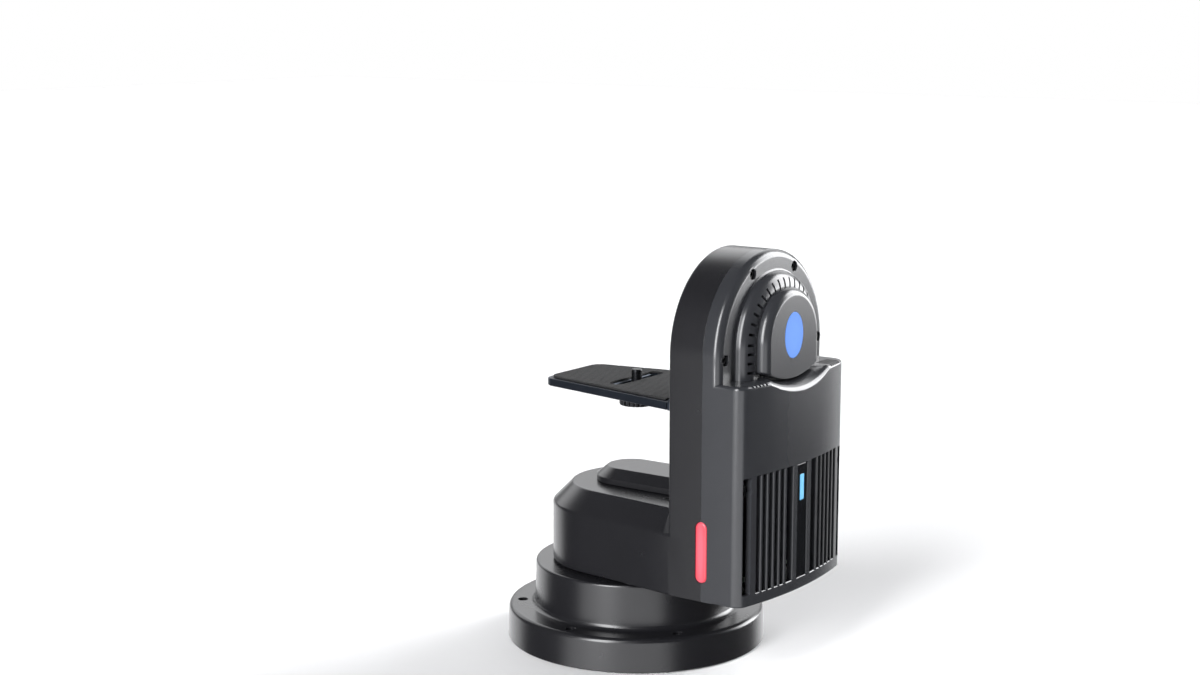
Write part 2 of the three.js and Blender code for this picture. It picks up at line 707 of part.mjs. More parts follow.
// The inner half of the arm: a shallow arched pan with the posts of what it carries
function makeArmHousing() {
  const skin = prismX(archShape(armHalfDepth, turretBottom, tiltAxisZ), armInnerX,
    partingX + 2 * armEdgeRound, { edge: armEdgeRound, segments: 1 }).trimByPlane([-1, 0, 0], -partingX);
  const cavity = prismX(archShape(armInnerHalf, armFloor, tiltAxisZ), armCavityX, partingX + cutOverrun,
    inside);
  const boreRadius = tiltRadii.outer + fitGap;
  const bearingBoss = rodX(boreRadius + bearingBossWall, armInnerX + bearingLip, bearingBossEnd)
    .translate([0, 0, tiltAxisZ]);
  const bearingBore = join(rodX(boreRadius, tiltBearingX - fitGap, bearingBossEnd + cutOverrun),
    rodX(bearingLipRadius, armInnerX - cutOverrun, bearingBossEnd)).translate([0, 0, tiltAxisZ]);
  const drivePosts = atYZ(rodX(drivePostRadius, armCavityX - fitGap, partingX, smallSegments),
    drivePostPlaces);
  const coverBosses = atYZ(rodX(coverBossRadius, armCavityX - fitGap, partingX, smallSegments),
    coverScrewPlaces);
  const pilots = atYZ(rodX(screwHoleRadius, partingX - pilotDepth, partingX + cutOverrun, smallSegments),
    [...coverScrewPlaces, ...drivePostPlaces]);
  const boardPosts = atYZ(join(rodX(boardPostRadius, armCavityX - fitGap, partingX, smallSegments),
    rodX(standoffRadius, partingX - fitGap, mainBoardX - fitGap, smallSegments)), boardPostPlaces);
  const jointBosses = atYZ(rodX(coverBossRadius, armCavityX - fitGap, armInnerX + pilotDepth + cutOverrun,
    smallSegments), jointScrewPlaces);
  const jointHoles = atYZ(rodX(screwHoleRadius, armInnerX - cutOverrun, armInnerX + pilotDepth + runningGap,
    smallSegments), jointScrewPlaces);
  return cut(join(cut(skin, cavity), bearingBoss, drivePosts, coverBosses, boardPosts, jointBosses),
    bearingBore, pilots, jointHoles, harnessWindow(), tallyWindow());
}

// The way of the harness from the turret into the arm
function harnessWindow() {
  return box([turretEndX - castWall - cutOverrun, -harnessWindowHalf, harnessWindowLow],
    [armCavityX + cutOverrun, harnessWindowHalf, harnessWindowHigh]);
}

function tallyWindow() {
  return prismY(slotShape(partingX, tallyZ, tallyHalfWidth + fitGap, tallyHalfHeight + fitGap),
    -armHalfDepth - cutOverrun, -armInnerHalf + cutOverrun, { curveSegments: 2 });
}

function makeTallyLens() {
  const bar = prismY(slotShape(partingX, tallyZ, tallyHalfWidth, tallyHalfHeight),
    -armHalfDepth - tallyProud, -armInnerHalf + fitGap + tallyFlangeThickness,
    { edge: tallyProud, segments: 1, curveSegments: 2 });
  const flange = prismY(
    slotShape(partingX, tallyZ, tallyHalfWidth + tallyFlange, tallyHalfHeight + tallyFlange),
    -armInnerHalf + fitGap, -armInnerHalf + fitGap + tallyFlangeThickness, { curveSegments: 2 });
  return join(bar, flange);
}

function makeTallyBoard() {
  const front = -armInnerHalf + fitGap + tallyFlangeThickness + fitGap;
  const outline = roundedShape(partingX - tallyHalfWidth - tallyFlange, tallyZ - tallyHalfHeight,
    partingX + tallyHalfWidth + tallyFlange, tallyZ + tallyHalfHeight, tallyFlange);
  return prismY(outline, front, front + boardThickness, { curveSegments: 2 });
}

// Turret underside: a plate with its screws that holds the outer ring of the pan bearing, and the neck seal
const turretPlateRadius = turretInnerRadius - fitGap;
const panBossWall = 4;
const panLip = 2;
const sealInset = 7.1;
const sealRadius = turretPlateRadius - sealInset;
const sealWidth = 3;

function makeTurretPlate() {
  const bore = panRadii.outer + fitGap;
  const low = plateSeatZ;
  const plate = turned([[bore - panLip, low], [turretPlateRadius, low],
    [turretPlateRadius, low + turretPlateThickness], [bore + panBossWall, low + turretPlateThickness],
    [bore + panBossWall, panBearingTop], [bore, panBearingTop], [bore, panBearingLow - fitGap],
    [bore - panLip, panBearingLow - fitGap]], innerSegments);
  const counterbores = atXY(rod(counterboreRadius, low - cutOverrun, low + screwHeadHeight, smallSegments),
    turretPlateScrewPlaces);
  const screw = letInScrew(turretPlateThickness + turretPlateBossHeight - screwHeadHeight - cutOverrun)
    .rotate([180, 0, 0]).translate([0, 0, low + screwHeadHeight]);
  return join(cut(plate, counterbores), atXY(screw, turretPlateScrewPlaces));
}

function makeNeckSeal() {
  return ring(sealRadius - sealWidth, sealRadius, drumTop + fitGap, plateSeatZ - fitGap);
}

// Raised cap on the turret's flat top
const capHalf = 20.5;
const capNoseX = -3;
const capStep = 3.2;
const capBevelHeight = 5.3;
const capBevelInset = 6.4;
const capWall = 2.4;
const capLow = turretTop + fitGap;
const capTop = capLow + capStep + capBevelHeight;
const capEndX = armInnerX - fitGap;

function capPlan(half) {
  const shape = new THREE.Shape();
  shape.absarc(capNoseX, 0, half, quarterTurn, 3 * quarterTurn, false);
  shape.lineTo(capEndX + 2 * capBevelInset, -half);
  shape.lineTo(capEndX + 2 * capBevelInset, half);
  shape.closePath();
  return shape;
}

function makeTurretCap() {
  const skin = prismZRoundTop(capPlan(capHalf), capLow, capTop,
    { edge: capBevelHeight, inset: capBevelInset, segments: 1 }).trimByPlane([-1, 0, 0], -capEndX);
  const hollow = prismZRoundTop(capPlan(capHalf - capWall), capLow, capTop - capWall,
    { edge: capBevelHeight, inset: capBevelInset, segments: 1 }).trimByPlane([-1, 0, 0], -capEndX + capWall);
  return cut(skin, hollow);
}

// Outer cover of the arm. Its upper half is an arch with a round rim; a hood, a ring of vent slots and a
// domed cap stand on the arch, and the lower half is a deeper box with a crowned face and louvre slots.
const rimRound = 4.3;
const hoodInset = 15.7;
const hoodRise = 4.2;
const hoodDepth = 5.3;
const hoodRound = 2.4;
const domeInset = 10.6;
const domeRise = 6.5;
const domeDepth = 8;
const domeRound = 3.6;
const hoodHalf = armHalfDepth - hoodInset;
const hoodZ = tiltAxisZ + hoodRise;
const hoodX = annulusX + hoodDepth;
const domeHalf = hoodHalf - domeInset;
const domeZ = tiltAxisZ + domeRise;
const domeX = hoodX + domeDepth;
const domeFootRadius = 58.5;
const domeFootSag = 4.6;
const domeFootSteps = 8;
const scallopFlare = 5;
const scallopGroove = 1;
const boxCornerRound = 3.3;
const crownSteps = 10;
const boxEdgeRound = 1.6;
const ventSlotWidth = 1.5;
const ventDomeGap = 2;
const ventAngle = 9.5;
const ventArchCount = 19;
const ventSideDrop = 1.3;
const ventSidePitch = 4.7;
const ventSideCount = 3;
const notchWidth = 1.3;
const notchPitch = 2.7;
const notchCount = 5;
const notchInset = 19.8;
const notchLength = 5;
const notchDepth = 1.8;
const domeFootZ = ledgeZ + runningGap;
const domeFootCentreZ = domeFootZ - domeFootSag + domeFootRadius;

// Louvre panel, measured along Y from the middle of the cover
const slotHalf = 1.25;
const slotFirst = 19.4;
const slotPitch = 5.1;
const wideSlotHalf = 2.75;
const wideSlotAt = 12.3;
const pocketEdge = 3.1;
const pocketWidth = 4.8;
const pocketDepth = 1.7;
const pocketRib = 2.6;
const pocketHigh = armHalfDepth - pocketEdge;
const pocketLow = pocketHigh - pocketWidth;
const slotCount = 1 + Math.floor((pocketLow - pocketRib - slotHalf - slotFirst) / slotPitch);
const stripHalf = 5.15;
const stripRecess = 2;
const stripThickness = 1.1;
const tagHalfWidth = 2.7;
const tagHalfHeight = 8;
const tagDrop = 13.4;
const tagZ = louvreHigh - tagDrop;
const tagY = -0.8;
const tagThickness = 0.4;
const tagPocket = 0.5;
const windowHalfY = 9.3;
const windowHalfZ = 12.5;
const windowRise = 2.2;
const windowZ = domeZ + windowRise;
const windowRecess = 1.6;
const windowProud = 0.15;

// The plan of the lower box: a crowned outer face with rounded corners
function boxPlan(inset) {
  const half = armHalfDepth - inset;
  const crownRadius = coverCrownRadius - inset;
  const cornerAngle = Math.asin((half - boxCornerRound) / (crownRadius - boxCornerRound));
  const cornerX = coverCrownCentreX + (crownRadius - boxCornerRound) * Math.cos(cornerAngle);
  const cornerY = half - boxCornerRound;
  const startX = coverStartX - 2 * cutOverrun;
  return closedShape([
    [startX, half],
    [startX, -half],
    ...fillet(cornerX, -cornerY, boxCornerRound, -quarterTurn, -cornerAngle),
    ...fillet(coverCrownCentreX, 0, crownRadius, -cornerAngle, cornerAngle, crownSteps).slice(1, -1),
    ...fillet(cornerX, cornerY, boxCornerRound, cornerAngle, quarterTurn),
  ]);
}

// The domed cap's outline: an arch whose foot bulges down in a shallow arc
function domeShape(half) {
  const footAngle = Math.asin(half / domeFootRadius);
  const shape = closedShape(fillet(0, domeFootCentreZ, domeFootRadius, 3 * quarterTurn - footAngle,
    3 * quarterTurn + footAngle, domeFootSteps));
  shape.absarc(0, domeZ, half, 0, halfTurn, false);
  shape.closePath();
  return shape;
}

// The scallop in the box's top edge: a cone about X, concentric with the dome's foot
function scallop(margin) {
  const low = hoodX - margin;
  const high = coverCornerX + coverCrown;
  const radius = domeFootRadius + scallopGroove + margin;
  const cone = turnedX([[0, low], [radius, low], [radius + scallopFlare, high],
    [radius + scallopFlare, high + cutOverrun], [0, high + cutOverrun]], wideSegments);
  return cone.translate([0, 0, domeFootCentreZ]).trimByPlane([0, 0, -1], -(ledgeZ + cutOverrun));
}

function ventSlots() {
  const high = hoodHalf - hoodRound;
  const blank = box([hoodX - coverWall * 2, domeHalf + ventDomeGap, -ventSlotWidth / 2],
    [hoodX + cutOverrun, high, ventSlotWidth / 2]);
  const slots = [];
  for (let i = 0; i < ventArchCount; i++) {
    const angle = 90 + (i - (ventArchCount - 1) / 2) * ventAngle;
    slots.push(blank.rotate([angle, 0, 0]).translate([0, 0, hoodZ]));
  }
  for (let i = 0; i < ventSideCount; i++) {
    const z = hoodZ - ventSideDrop - i * ventSidePitch;
    slots.push(blank.translate([0, 0, z]), blank.rotate([180, 0, 0]).translate([0, 0, z]));
  }
  return join(...slots);
}

function ledgeNotches() {
  const middleX = coverCornerX - boxEdgeRound;
  const notches = [];
  for (let i = 0; i < notchCount; i++) {
    for (const side of [-1, 1]) {
      const y = side * (armHalfDepth - notchInset + i * notchPitch);
      notches.push(box([middleX - notchLength / 2, y - notchWidth / 2, ledgeZ - notchDepth],
        [middleX + notchLength / 2 + cutOverrun, y + notchWidth / 2, ledgeZ + cutOverrun]));
    }
  }
  return join(...notches);
}

function louvreSlot(y, half) {
  return prismX(slotShape(y, (louvreLow + louvreHigh) / 2, half, (louvreHigh - louvreLow) / 2),
    coverCornerX - coverWall * 3, coverCornerX + coverCrown + cutOverrun, { curveSegments: 1 });
}

function louvreSlots() {
  const slots = [];
  for (const side of [-1, 1]) {
    slots.push(louvreSlot(side * wideSlotAt, wideSlotHalf));
    for (let i = 0; i < slotCount; i++) slots.push(louvreSlot(side * (slotFirst + i * slotPitch), slotHalf));
  }
  return join(...slots);
}

function pocketFloorX() {
  const crown = Math.sqrt(coverCrownRadius ** 2 - pocketHigh ** 2);
  return coverCrownCentreX + crown - pocketDepth;
}

function louvrePockets() {
  const floor = pocketFloorX();
  return join(...[-1, 1].map((side) => {
    const [low, high] = [side * pocketLow, side * pocketHigh].sort((a, b) => a - b);
    return box([floor, low, louvreLow], [coverCornerX + coverCrown + cutOverrun, high, louvreHigh]);
  }));
}

const coverScrewSeatX = annulusX - screwHeadHeight - runningGap;
const pocketScrewSeatX = pocketFloorX() - screwHeadHeight - runningGap;

// What each cover screw needs: its place, the X of its head's seat, and the X of the face that it enters
const coverScrews = coverScrewPlaces.map(([y, z]) => (z > ledgeZ
  ? { y, z, seat: coverScrewSeatX, face: annulusX }
  : { y, z, seat: pocketScrewSeatX, face: pocketFloorX() }));

function makeArmCover() {
  const arch = prismXRoundEnd(archShape(armHalfDepth, turretBottom, tiltAxisZ), coverStartX, annulusX,
    { edge: rimRound });
  const hood = prismXRoundEnd(archShape(hoodHalf, ledgeZ - coverWall, hoodZ), coverStartX, hoodX,
    { edge: hoodRound, segments: 2 });
  const dome = prismXRoundEnd(domeShape(domeHalf), coverStartX, domeX, { edge: domeRound });
  const lower = prismZ(boxPlan(0), turretBottom, ledgeZ, { edge: boxEdgeRound, segments: 1 })
    .trimByPlane([1, 0, 0], coverStartX);
  const skin = join(arch, hood, cut(lower, scallop(0)), dome);
  const hollows = [
    prismX(archShape(armHalfDepth - coverWall, armFloor, tiltAxisZ), coverStartX - cutOverrun,
      annulusX - coverWall, inside),
    prismX(archShape(hoodHalf - coverWall, armFloor, hoodZ), coverStartX - cutOverrun,
      hoodX - coverWall, inside),
    prismX(archShape(domeHalf - coverWall, domeFootZ, domeZ), coverStartX - cutOverrun,
      domeX - coverWall, inside),
    cut(prismZ(boxPlan(coverWall), armFloor, ledgeZ - coverWall), scallop(coverWall)),
  ];
  const shell = cut(skin, ...hollows);
  const bosses = join(...coverScrews.map(({ y, z, face }) =>
    rodX(coverBossRadius, coverStartX, face - fitGap, holeSegments).translate([0, y, z])));
  const holes = join(...coverScrews.map(({ y, z, seat, face }) => join(
    rodX(screwHoleRadius, coverStartX - cutOverrun, face, smallSegments),
    rodX(counterboreRadius, seat, face + cutOverrun, boreSegments)).translate([0, y, z])));
  const strip = box([coverCornerX + coverCrown - stripRecess, -stripHalf, louvreLow],
    [coverCornerX + coverCrown + cutOverrun, stripHalf, louvreHigh]);
  const window = prismX(ovalShape(fitGap), domeX - windowRecess, domeX + cutOverrun, inside);
  return cut(join(shell, bosses), holes, ventSlots(), ledgeNotches(), louvreSlots(), louvrePockets(),
    strip, window, tallyWindow());
}

function makeCoverScrew(seat) {
  return capScrew(seat - partingX + pilotDepth - runningGap).rotate([0, 90, 0]);
}

function ovalShape(margin) {
  const shape = new THREE.Shape();
  shape.absellipse(0, windowZ, windowHalfY + margin, windowHalfZ + margin, 0, 2 * halfTurn, false);
  return shape;
}

function makeStatusWindow() {
  return prismX(ovalShape(0), domeX - windowRecess + fitGap, domeX + windowProud, inside);
}

function makeStatusBoard() {
  const high = domeX - coverWall - fitGap;
  return rodX(windowHalfY, high - boardThickness, high, boreSegments).translate([0, 0, windowZ]);
}

function makeLabelStrip() {
  const low = coverCornerX + coverCrown - stripRecess + fitGap;
  const high = low + stripThickness;
  const plate = box([low, -stripHalf + fitGap, louvreLow + fitGap],
    [high, stripHalf - fitGap, louvreHigh - fitGap]);
  const pocket = box([high - tagPocket, tagY - tagHalfWidth - fitGap, tagZ - tagHalfHeight - fitGap],
    [high + cutOverrun, tagY + tagHalfWidth + fitGap, tagZ + tagHalfHeight + fitGap]);
  return cut(plate, pocket);
}

function makeLabelTag() {
  const low = coverCornerX + coverCrown - stripRecess + stripThickness - tagPocket + 2 * fitGap;
  return box([low, tagY - tagHalfWidth, tagZ - tagHalfHeight],
    [low + tagThickness, tagY + tagHalfWidth, tagZ + tagHalfHeight]);
}

// Pan drive: a motor that hangs from the turret's ceiling in a hat-section bracket, its shaft down
const bracketSheet = 2;
const bracketFoot = 12;
const footScrewEdge = 1.4;
const footScrewOffset = 4;
const pinionOverhang = 0.8;
const bracketTop = turretCeiling - fitGap;
const panPinionLow = panGearLow - pinionOverhang / 2;
const panMotorTop = bracketTop - bracketSheet + runningGap;
const panMotorLow = panMotorTop - motorLength;
const bracketLow = panMotorLow - fitGap - bracketSheet;
const shaftHoleRadius = 6;
const turretScrewX = gearCentres + footScrewOffset;
const turretScrewHalf = motorHalf + fitGap + bracketSheet + bracketFoot - footScrewEdge;
const turretScrewPlaces = [[turretScrewX, -turretScrewHalf], [turretScrewX, turretScrewHalf]];

function motorShape() {
  const half = motorHalf;
  const flat = motorHalf - motorChamfer;
  return closedShape([[-half, -flat], [-flat, -half], [flat, -half], [half, -flat], [half, flat],
    [flat, half], [-flat, half], [-half, flat]]);
}

function makePanMotor() {
  const body = prismZ(motorShape(), panMotorLow, panMotorTop).translate([gearCentres, 0, 0]);
  const bore = rod(motorShaftRadius + fitGap, panMotorLow - cutOverrun,
    panMotorLow + motorShaftInsert + fitGap, boreSegments).translate([gearCentres, 0, 0]);
  return cut(body, bore);
}

function makePanMotorBracket() {
  const leg = motorHalf + fitGap;
  const foot = leg + bracketSheet + bracketFoot;
  const hat = closedShape([[-foot, bracketTop - bracketSheet],
    [-leg - bracketSheet, bracketTop - bracketSheet], [-leg - bracketSheet, bracketLow],
    [leg + bracketSheet, bracketLow],
    [leg + bracketSheet, bracketTop - bracketSheet], [foot, bracketTop - bracketSheet], [foot, bracketTop],
    [leg, bracketTop], [leg, bracketLow + bracketSheet], [-leg, bracketLow + bracketSheet],
    [-leg, bracketTop], [-foot, bracketTop]]);
  const bracket = prismX(hat, gearCentres - motorHalf, gearCentres + motorHalf);
  const footHoles = atXY(rod(screwHoleRadius, bracketTop - bracketSheet - cutOverrun, bracketTop + cutOverrun,
    smallSegments), turretScrewPlaces);
  const shaftHole = rod(shaftHoleRadius, bracketLow - cutOverrun, bracketLow + bracketSheet + cutOverrun,
    boreSegments).translate([gearCentres, 0, 0]);
  return cut(bracket, footHoles, shaftHole);
}

const turretScrewSeat = turretTop - screwHeadHeight + fitGap;

function makeTurretScrew() {
  return capScrew(turretScrewSeat - bracketTop + bracketSheet + runningGap);
}

// A pinion from z = 0 up, turned by half a tooth so that a gap faces its gear
function makePinion() {
  const shape = gearShape(pinionTeeth, motorShaftRadius + fitGap, halfTurn / pinionTeeth);
  return prismZ(shape, 0, gearFace + pinionOverhang, { curveSegments: smallSegments });
}

// Tilt drive: a plate screwed to four posts carries the second bearing and the tilt motor
const tiltGearX = (bearingBossEnd + drivePlateX - gearFace) / 2;
const tiltBearingFarX = drivePlateX + fitGap;
const drivePlateRound = 8;
const driveBossEnd = tiltBearingFarX + tiltBearing.width;
const tiltMotorX = drivePlateX + drivePlateThickness + fitGap;
const tiltPinionX = tiltGearX - pinionOverhang / 2;

function makeDrivePlate() {
  const outline = roundedShape(-drivePlateHalf, drivePlateLow, drivePlateHalf, drivePlateHigh,
    drivePlateRound);
  const boreRadius = tiltRadii.outer + fitGap;
  const plate = prismX(outline, drivePlateX, drivePlateX + drivePlateThickness, { curveSegments: 2 });
  const boss = rodX(boreRadius + bearingBossWall, drivePlateX, driveBossEnd).translate([0, 0, tiltAxisZ]);
  const bore = rodX(boreRadius, drivePlateX - cutOverrun, driveBossEnd + cutOverrun)
    .translate([0, 0, tiltAxisZ]);
  const shaftHole = rodX(shaftHoleRadius, drivePlateX - cutOverrun, tiltMotorX, boreSegments)
    .translate([0, 0, motorZ]);
  const screw = letInScrew(drivePlateThickness + pilotDepth - runningGap).rotate([0, 90, 0])
    .translate([drivePlateX + drivePlateThickness, 0, 0]);
  return join(cut(join(plate, boss), bore, shaftHole), atYZ(screw, drivePostPlaces));
}

function makeTiltMotor() {
  const body = prismX(motorShape(), tiltMotorX, tiltMotorX + motorLength);
  const bore = rodX(motorShaftRadius + fitGap, tiltMotorX - cutOverrun,
    tiltMotorX + motorShaftInsert + fitGap, boreSegments);
  return cut(body, bore).translate([0, 0, motorZ]);
}

// Arm electronics: the main board on the casting's posts, and a finned heat sink behind the louvres
const sinkInset = 7;
const sinkFoot = 7.6;
const sinkHead = 4;
const sinkHalf = mainBoardHalf - sinkInset;
const sinkLow = mainBoardLow + sinkFoot;
const sinkHigh = mainBoardHigh - sinkHead;
const sinkBase = 3;
const sinkReach = 13;
const sinkFins = 9;
const sinkFinThickness = 1.6;

function makeMainBoard() {
  return box([mainBoardX, -mainBoardHalf, mainBoardLow],
    [mainBoardX + boardThickness, mainBoardHalf, mainBoardHigh]);
}

function makeHeatSink() {
  const back = mainBoardX + boardThickness + fitGap;
  const root = back + sinkBase;
  const tip = back + sinkReach;
  const pitch = (2 * sinkHalf - sinkFinThickness) / (sinkFins - 1);
  const points = [[back, sinkHalf], [back, -sinkHalf]];
  for (let i = 0; i < sinkFins; i++) {
    const low = -sinkHalf + i * pitch;
    const high = low + sinkFinThickness;
    points.push([root, low], [tip, low], [tip, high], [root, high]);
  }
  return prismZ(closedShape(points), sinkLow, sinkHigh);
}

// Tilt cradle, drawn about the tilt axis: its z is measured from the axis
const shaftShoulder = 9.2;
const hubRadius = 20;
const hubThickness = 3.3;
const hubGap = 1;
const spigotSink = 0.4;
const shaftEndProud = 0.9;
const gearHubRadius = 12;
const shaftRingWidth = 2;
const shaftRingRadius = 11;
const bracketPlateThickness = 4;
const bracketHeadRadius = 25;
const trayTop = -28;
const trayThickness = 4.5;
const trayHalfRoot = 43;
const trayHalfTip = 25;
const trayTipX = -48;
const trayCorner = 7;
const trayEdgeRound = 0.6;
const traySlotHalf = 22;
const traySlotRadius = 3.5;
const padThickness = 1;
const padMargin = 2.5;
const hubScrewCircle = 14;
const hubScrewAngles = [45, 135, 225, 315];
const trayScrewHalf = 27;
const trayLow = trayTop - trayThickness;
const hubFaceX = armInnerX - hubGap - hubThickness;
const bracketPlateX = hubFaceX - fitGap - bracketPlateThickness;
const spigotX = bracketPlateX + spigotSink;
const shaftEndX = driveBossEnd + fitGap + shaftRingWidth + shaftEndProud;
const hubScrewPlaces = hubScrewAngles.map((angle) => polar(hubScrewCircle, angle));
const trayScrewPlaces = [-trayScrewHalf, 0, trayScrewHalf].map((y) => [y, trayTop - trayThickness / 2]);

function makeTiltShaft() {
  const shoulderEnd = tiltBearingX - fitGap;
  const shaft = turnedX([[0, spigotX], [tiltShaftRadius, spigotX], [tiltShaftRadius, hubFaceX],
    [hubRadius, hubFaceX], [hubRadius, hubFaceX + hubThickness], [shaftShoulder, hubFaceX + hubThickness],
    [shaftShoulder, shoulderEnd], [tiltShaftRadius, shoulderEnd], [tiltShaftRadius, shaftEndX],
    [0, shaftEndX]]);
  const pilots = atYZ(rodX(screwHoleRadius, hubFaceX - cutOverrun, hubFaceX + hubThickness + cutOverrun,
    smallSegments), hubScrewPlaces);
  return cut(shaft, pilots);
}

function makeTiltGear() {
  const bore = tiltShaftRadius + fitGap;
  const gear = prismX(gearShape(gearTeeth, bore, -quarterTurn), tiltGearX, tiltGearX + gearFace,
    { curveSegments: ringSegments / 2 });
  const nearHub = ringX(bore, gearHubRadius, tiltBearingX + tiltBearing.width + fitGap, tiltGearX + fitGap);
  const farHub = ringX(bore, shaftRingRadius, tiltGearX + gearFace - fitGap, tiltBearingFarX - fitGap);
  return join(gear, nearHub, farHub);
}

function makeShaftRing() {
  const low = driveBossEnd + fitGap;
  return ringX(tiltShaftRadius + fitGap, shaftRingRadius, low, low + shaftRingWidth);
}

// The upright plate with its screws: round at the hub, widening to the root of the tray
function bracketPlateShape() {
  const spread = Math.atan2(trayHalfRoot - bracketHeadRadius, -trayLow);
  const shape = new THREE.Shape();
  shape.absarc(0, 0, bracketHeadRadius, -spread, halfTurn + spread, false);
  shape.lineTo(-trayHalfRoot, trayTop);
  shape.lineTo(-trayHalfRoot, trayLow);
  shape.lineTo(trayHalfRoot, trayLow);
  shape.lineTo(trayHalfRoot, trayTop);
  shape.closePath();
  return shape;
}

function makeBracketPlate() {
  const high = bracketPlateX + bracketPlateThickness;
  const plate = prismX(bracketPlateShape(), bracketPlateX, high, { edge: trayEdgeRound, segments: 1 });
  const spigotHole = rodX(tiltShaftRadius + fitGap, bracketPlateX - cutOverrun, high + cutOverrun);
  const hubScrew = letInScrew(bracketPlateThickness + hubThickness).rotate([0, -90, 0])
    .translate([bracketPlateX, 0, 0]);
  const trayScrew = letInScrew(bracketPlateThickness + pilotDepth - runningGap).rotate([0, 90, 0])
    .translate([high, 0, 0]);
  return join(cut(plate, spigotHole), atYZ(hubScrew, hubScrewPlaces), atYZ(trayScrew, trayScrewPlaces));
}

// The tray's plan tapers from the upright plate to its free end, with rounded corners there
function trayPlan(margin) {
  const rootX = bracketPlateX - fitGap - margin;
  const tipX = trayTipX + margin;
  const slope = (trayHalfRoot - trayHalfTip) / (bracketPlateX - trayTipX);
  const sideAngle = Math.atan(slope);
  const tipHalf = trayHalfTip + slope * margin - margin / Math.cos(sideAngle);
  const rootHalf = trayHalfRoot - slope * (bracketPlateX - rootX) - margin / Math.cos(sideAngle);
  const cornerHalf = tipHalf + slope * trayCorner - trayCorner / Math.cos(sideAngle);
  const shape = new THREE.Shape();
  shape.moveTo(rootX, -rootHalf);
  shape.lineTo(rootX, rootHalf);
  shape.absarc(tipX + trayCorner, cornerHalf, trayCorner, quarterTurn + sideAngle, halfTurn, false);
  shape.absarc(tipX + trayCorner, -cornerHalf, trayCorner, halfTurn, 3 * quarterTurn - sideAngle, false);
  shape.closePath();
  return shape;
}

function traySlot(margin) {
  return prismZ(slotShape(0, 0, traySlotRadius + margin, traySlotHalf + margin), trayLow - cutOverrun,
    trayTop + padThickness + fitGap + cutOverrun, { curveSegments: 4 });
}

function makeTray() {
  const plate = prismZ(trayPlan(0), trayLow, trayTop, { edge: trayEdgeRound, segments: 1, curveSegments: 4 });
  const pilots = atYZ(rodX(screwHoleRadius, bracketPlateX - pilotDepth, bracketPlateX + cutOverrun,
    smallSegments), trayScrewPlaces);
  return cut(plate, traySlot(0), pilots);
}

function makeTrayPad() {
  const low = trayTop + fitGap;
  return cut(prismZ(trayPlan(padMargin), low, low + padThickness, { curveSegments: 4 }),
    traySlot(padMargin / 2));
}

// Camera screw: a knurled knob under the tray, with a washer that rides along the tray's slot
const washerRadius = 8.5;
const washerThickness = 1.2;
const cameraScrewRadius = 3.1;
const cameraScrewProud = 5.5;
const knobRadius = 10;
const knobHeight = 8;
const knobFlutes = 12;
const knobFluteDepth = 0.9;
const washerTop = trayLow - fitGap;
const knobTop = washerTop - washerThickness - fitGap;

function makeScrewWasher() {
  return ring(cameraScrewRadius + fitGap, washerRadius, washerTop - washerThickness, washerTop);
}

function makeCameraScrew() {
  const points = [];
  for (let i = 0; i < 2 * knobFlutes; i++) {
    points.push(polar(i % 2 ? knobRadius - knobFluteDepth : knobRadius, (180 * i) / knobFlutes));
  }
  const knob = prismZ(closedShape(points), knobTop - knobHeight, knobTop);
  const shank = rod(cameraScrewRadius, knobTop - fitGap, trayTop + padThickness + cameraScrewProud,
    boreSegments);
  return join(knob, shank);
}

// The model: each moving body is a group at its own joint
const root = new THREE.Group();
const yoke = new THREE.Group();
const cradle = new THREE.Group();
const panPinion = new THREE.Group();
const tiltPinion = new THREE.Group();
cradle.position.z = tiltAxisZ;
panPinion.position.x = gearCentres;
tiltPinion.position.z = motorZ;
root.add(yoke);
yoke.add(cradle, panPinion, tiltPinion);

const panShaftTop = panMotorLow + motorShaftInsert;
const tiltShaftTop = tiltMotorX + motorShaftInsert;
const tiltBearingPlaces = { near: tiltBearingX, far: tiltBearingFarX };

root.add(
  meshOf("base_housing", makeBaseHousing(), castPaint),
  meshOf("bottom_plate", makeBottomPlate(), darkAnodised),
  meshOf("pan_post", makePanPost(), bareAluminium),
  meshOf("pan_bearing_inner_ring", makeInnerRing(panBearing, panRadii), steel, [0, 0, panBearingLow]),
  meshOf("pan_gear", makePanGear(), brass),
  meshOf("pan_clamp_ring", makeClampRing(), steel),
  meshOf("connector_panel", makePanel(), blackPlastic),
  meshOf("network_socket_left", makeNetworkSocket(networkSocketPlaces[0]), bareAluminium),
  meshOf("network_socket_right", makeNetworkSocket(networkSocketPlaces[1]), bareAluminium),
  meshOf("power_socket", makePowerSocket(), blackPlastic),
  meshOf("base_board", makeBaseBoard(), boardGreen),
);
flangeScrewAngles.forEach((angle, i) => {
  const [x, y] = polar(mountHoleCircle, angle);
  root.add(meshOf(`flange_screw_${i + 1}`, makeFlangeScrew(), blackSteel, [x, y, 0]));
});

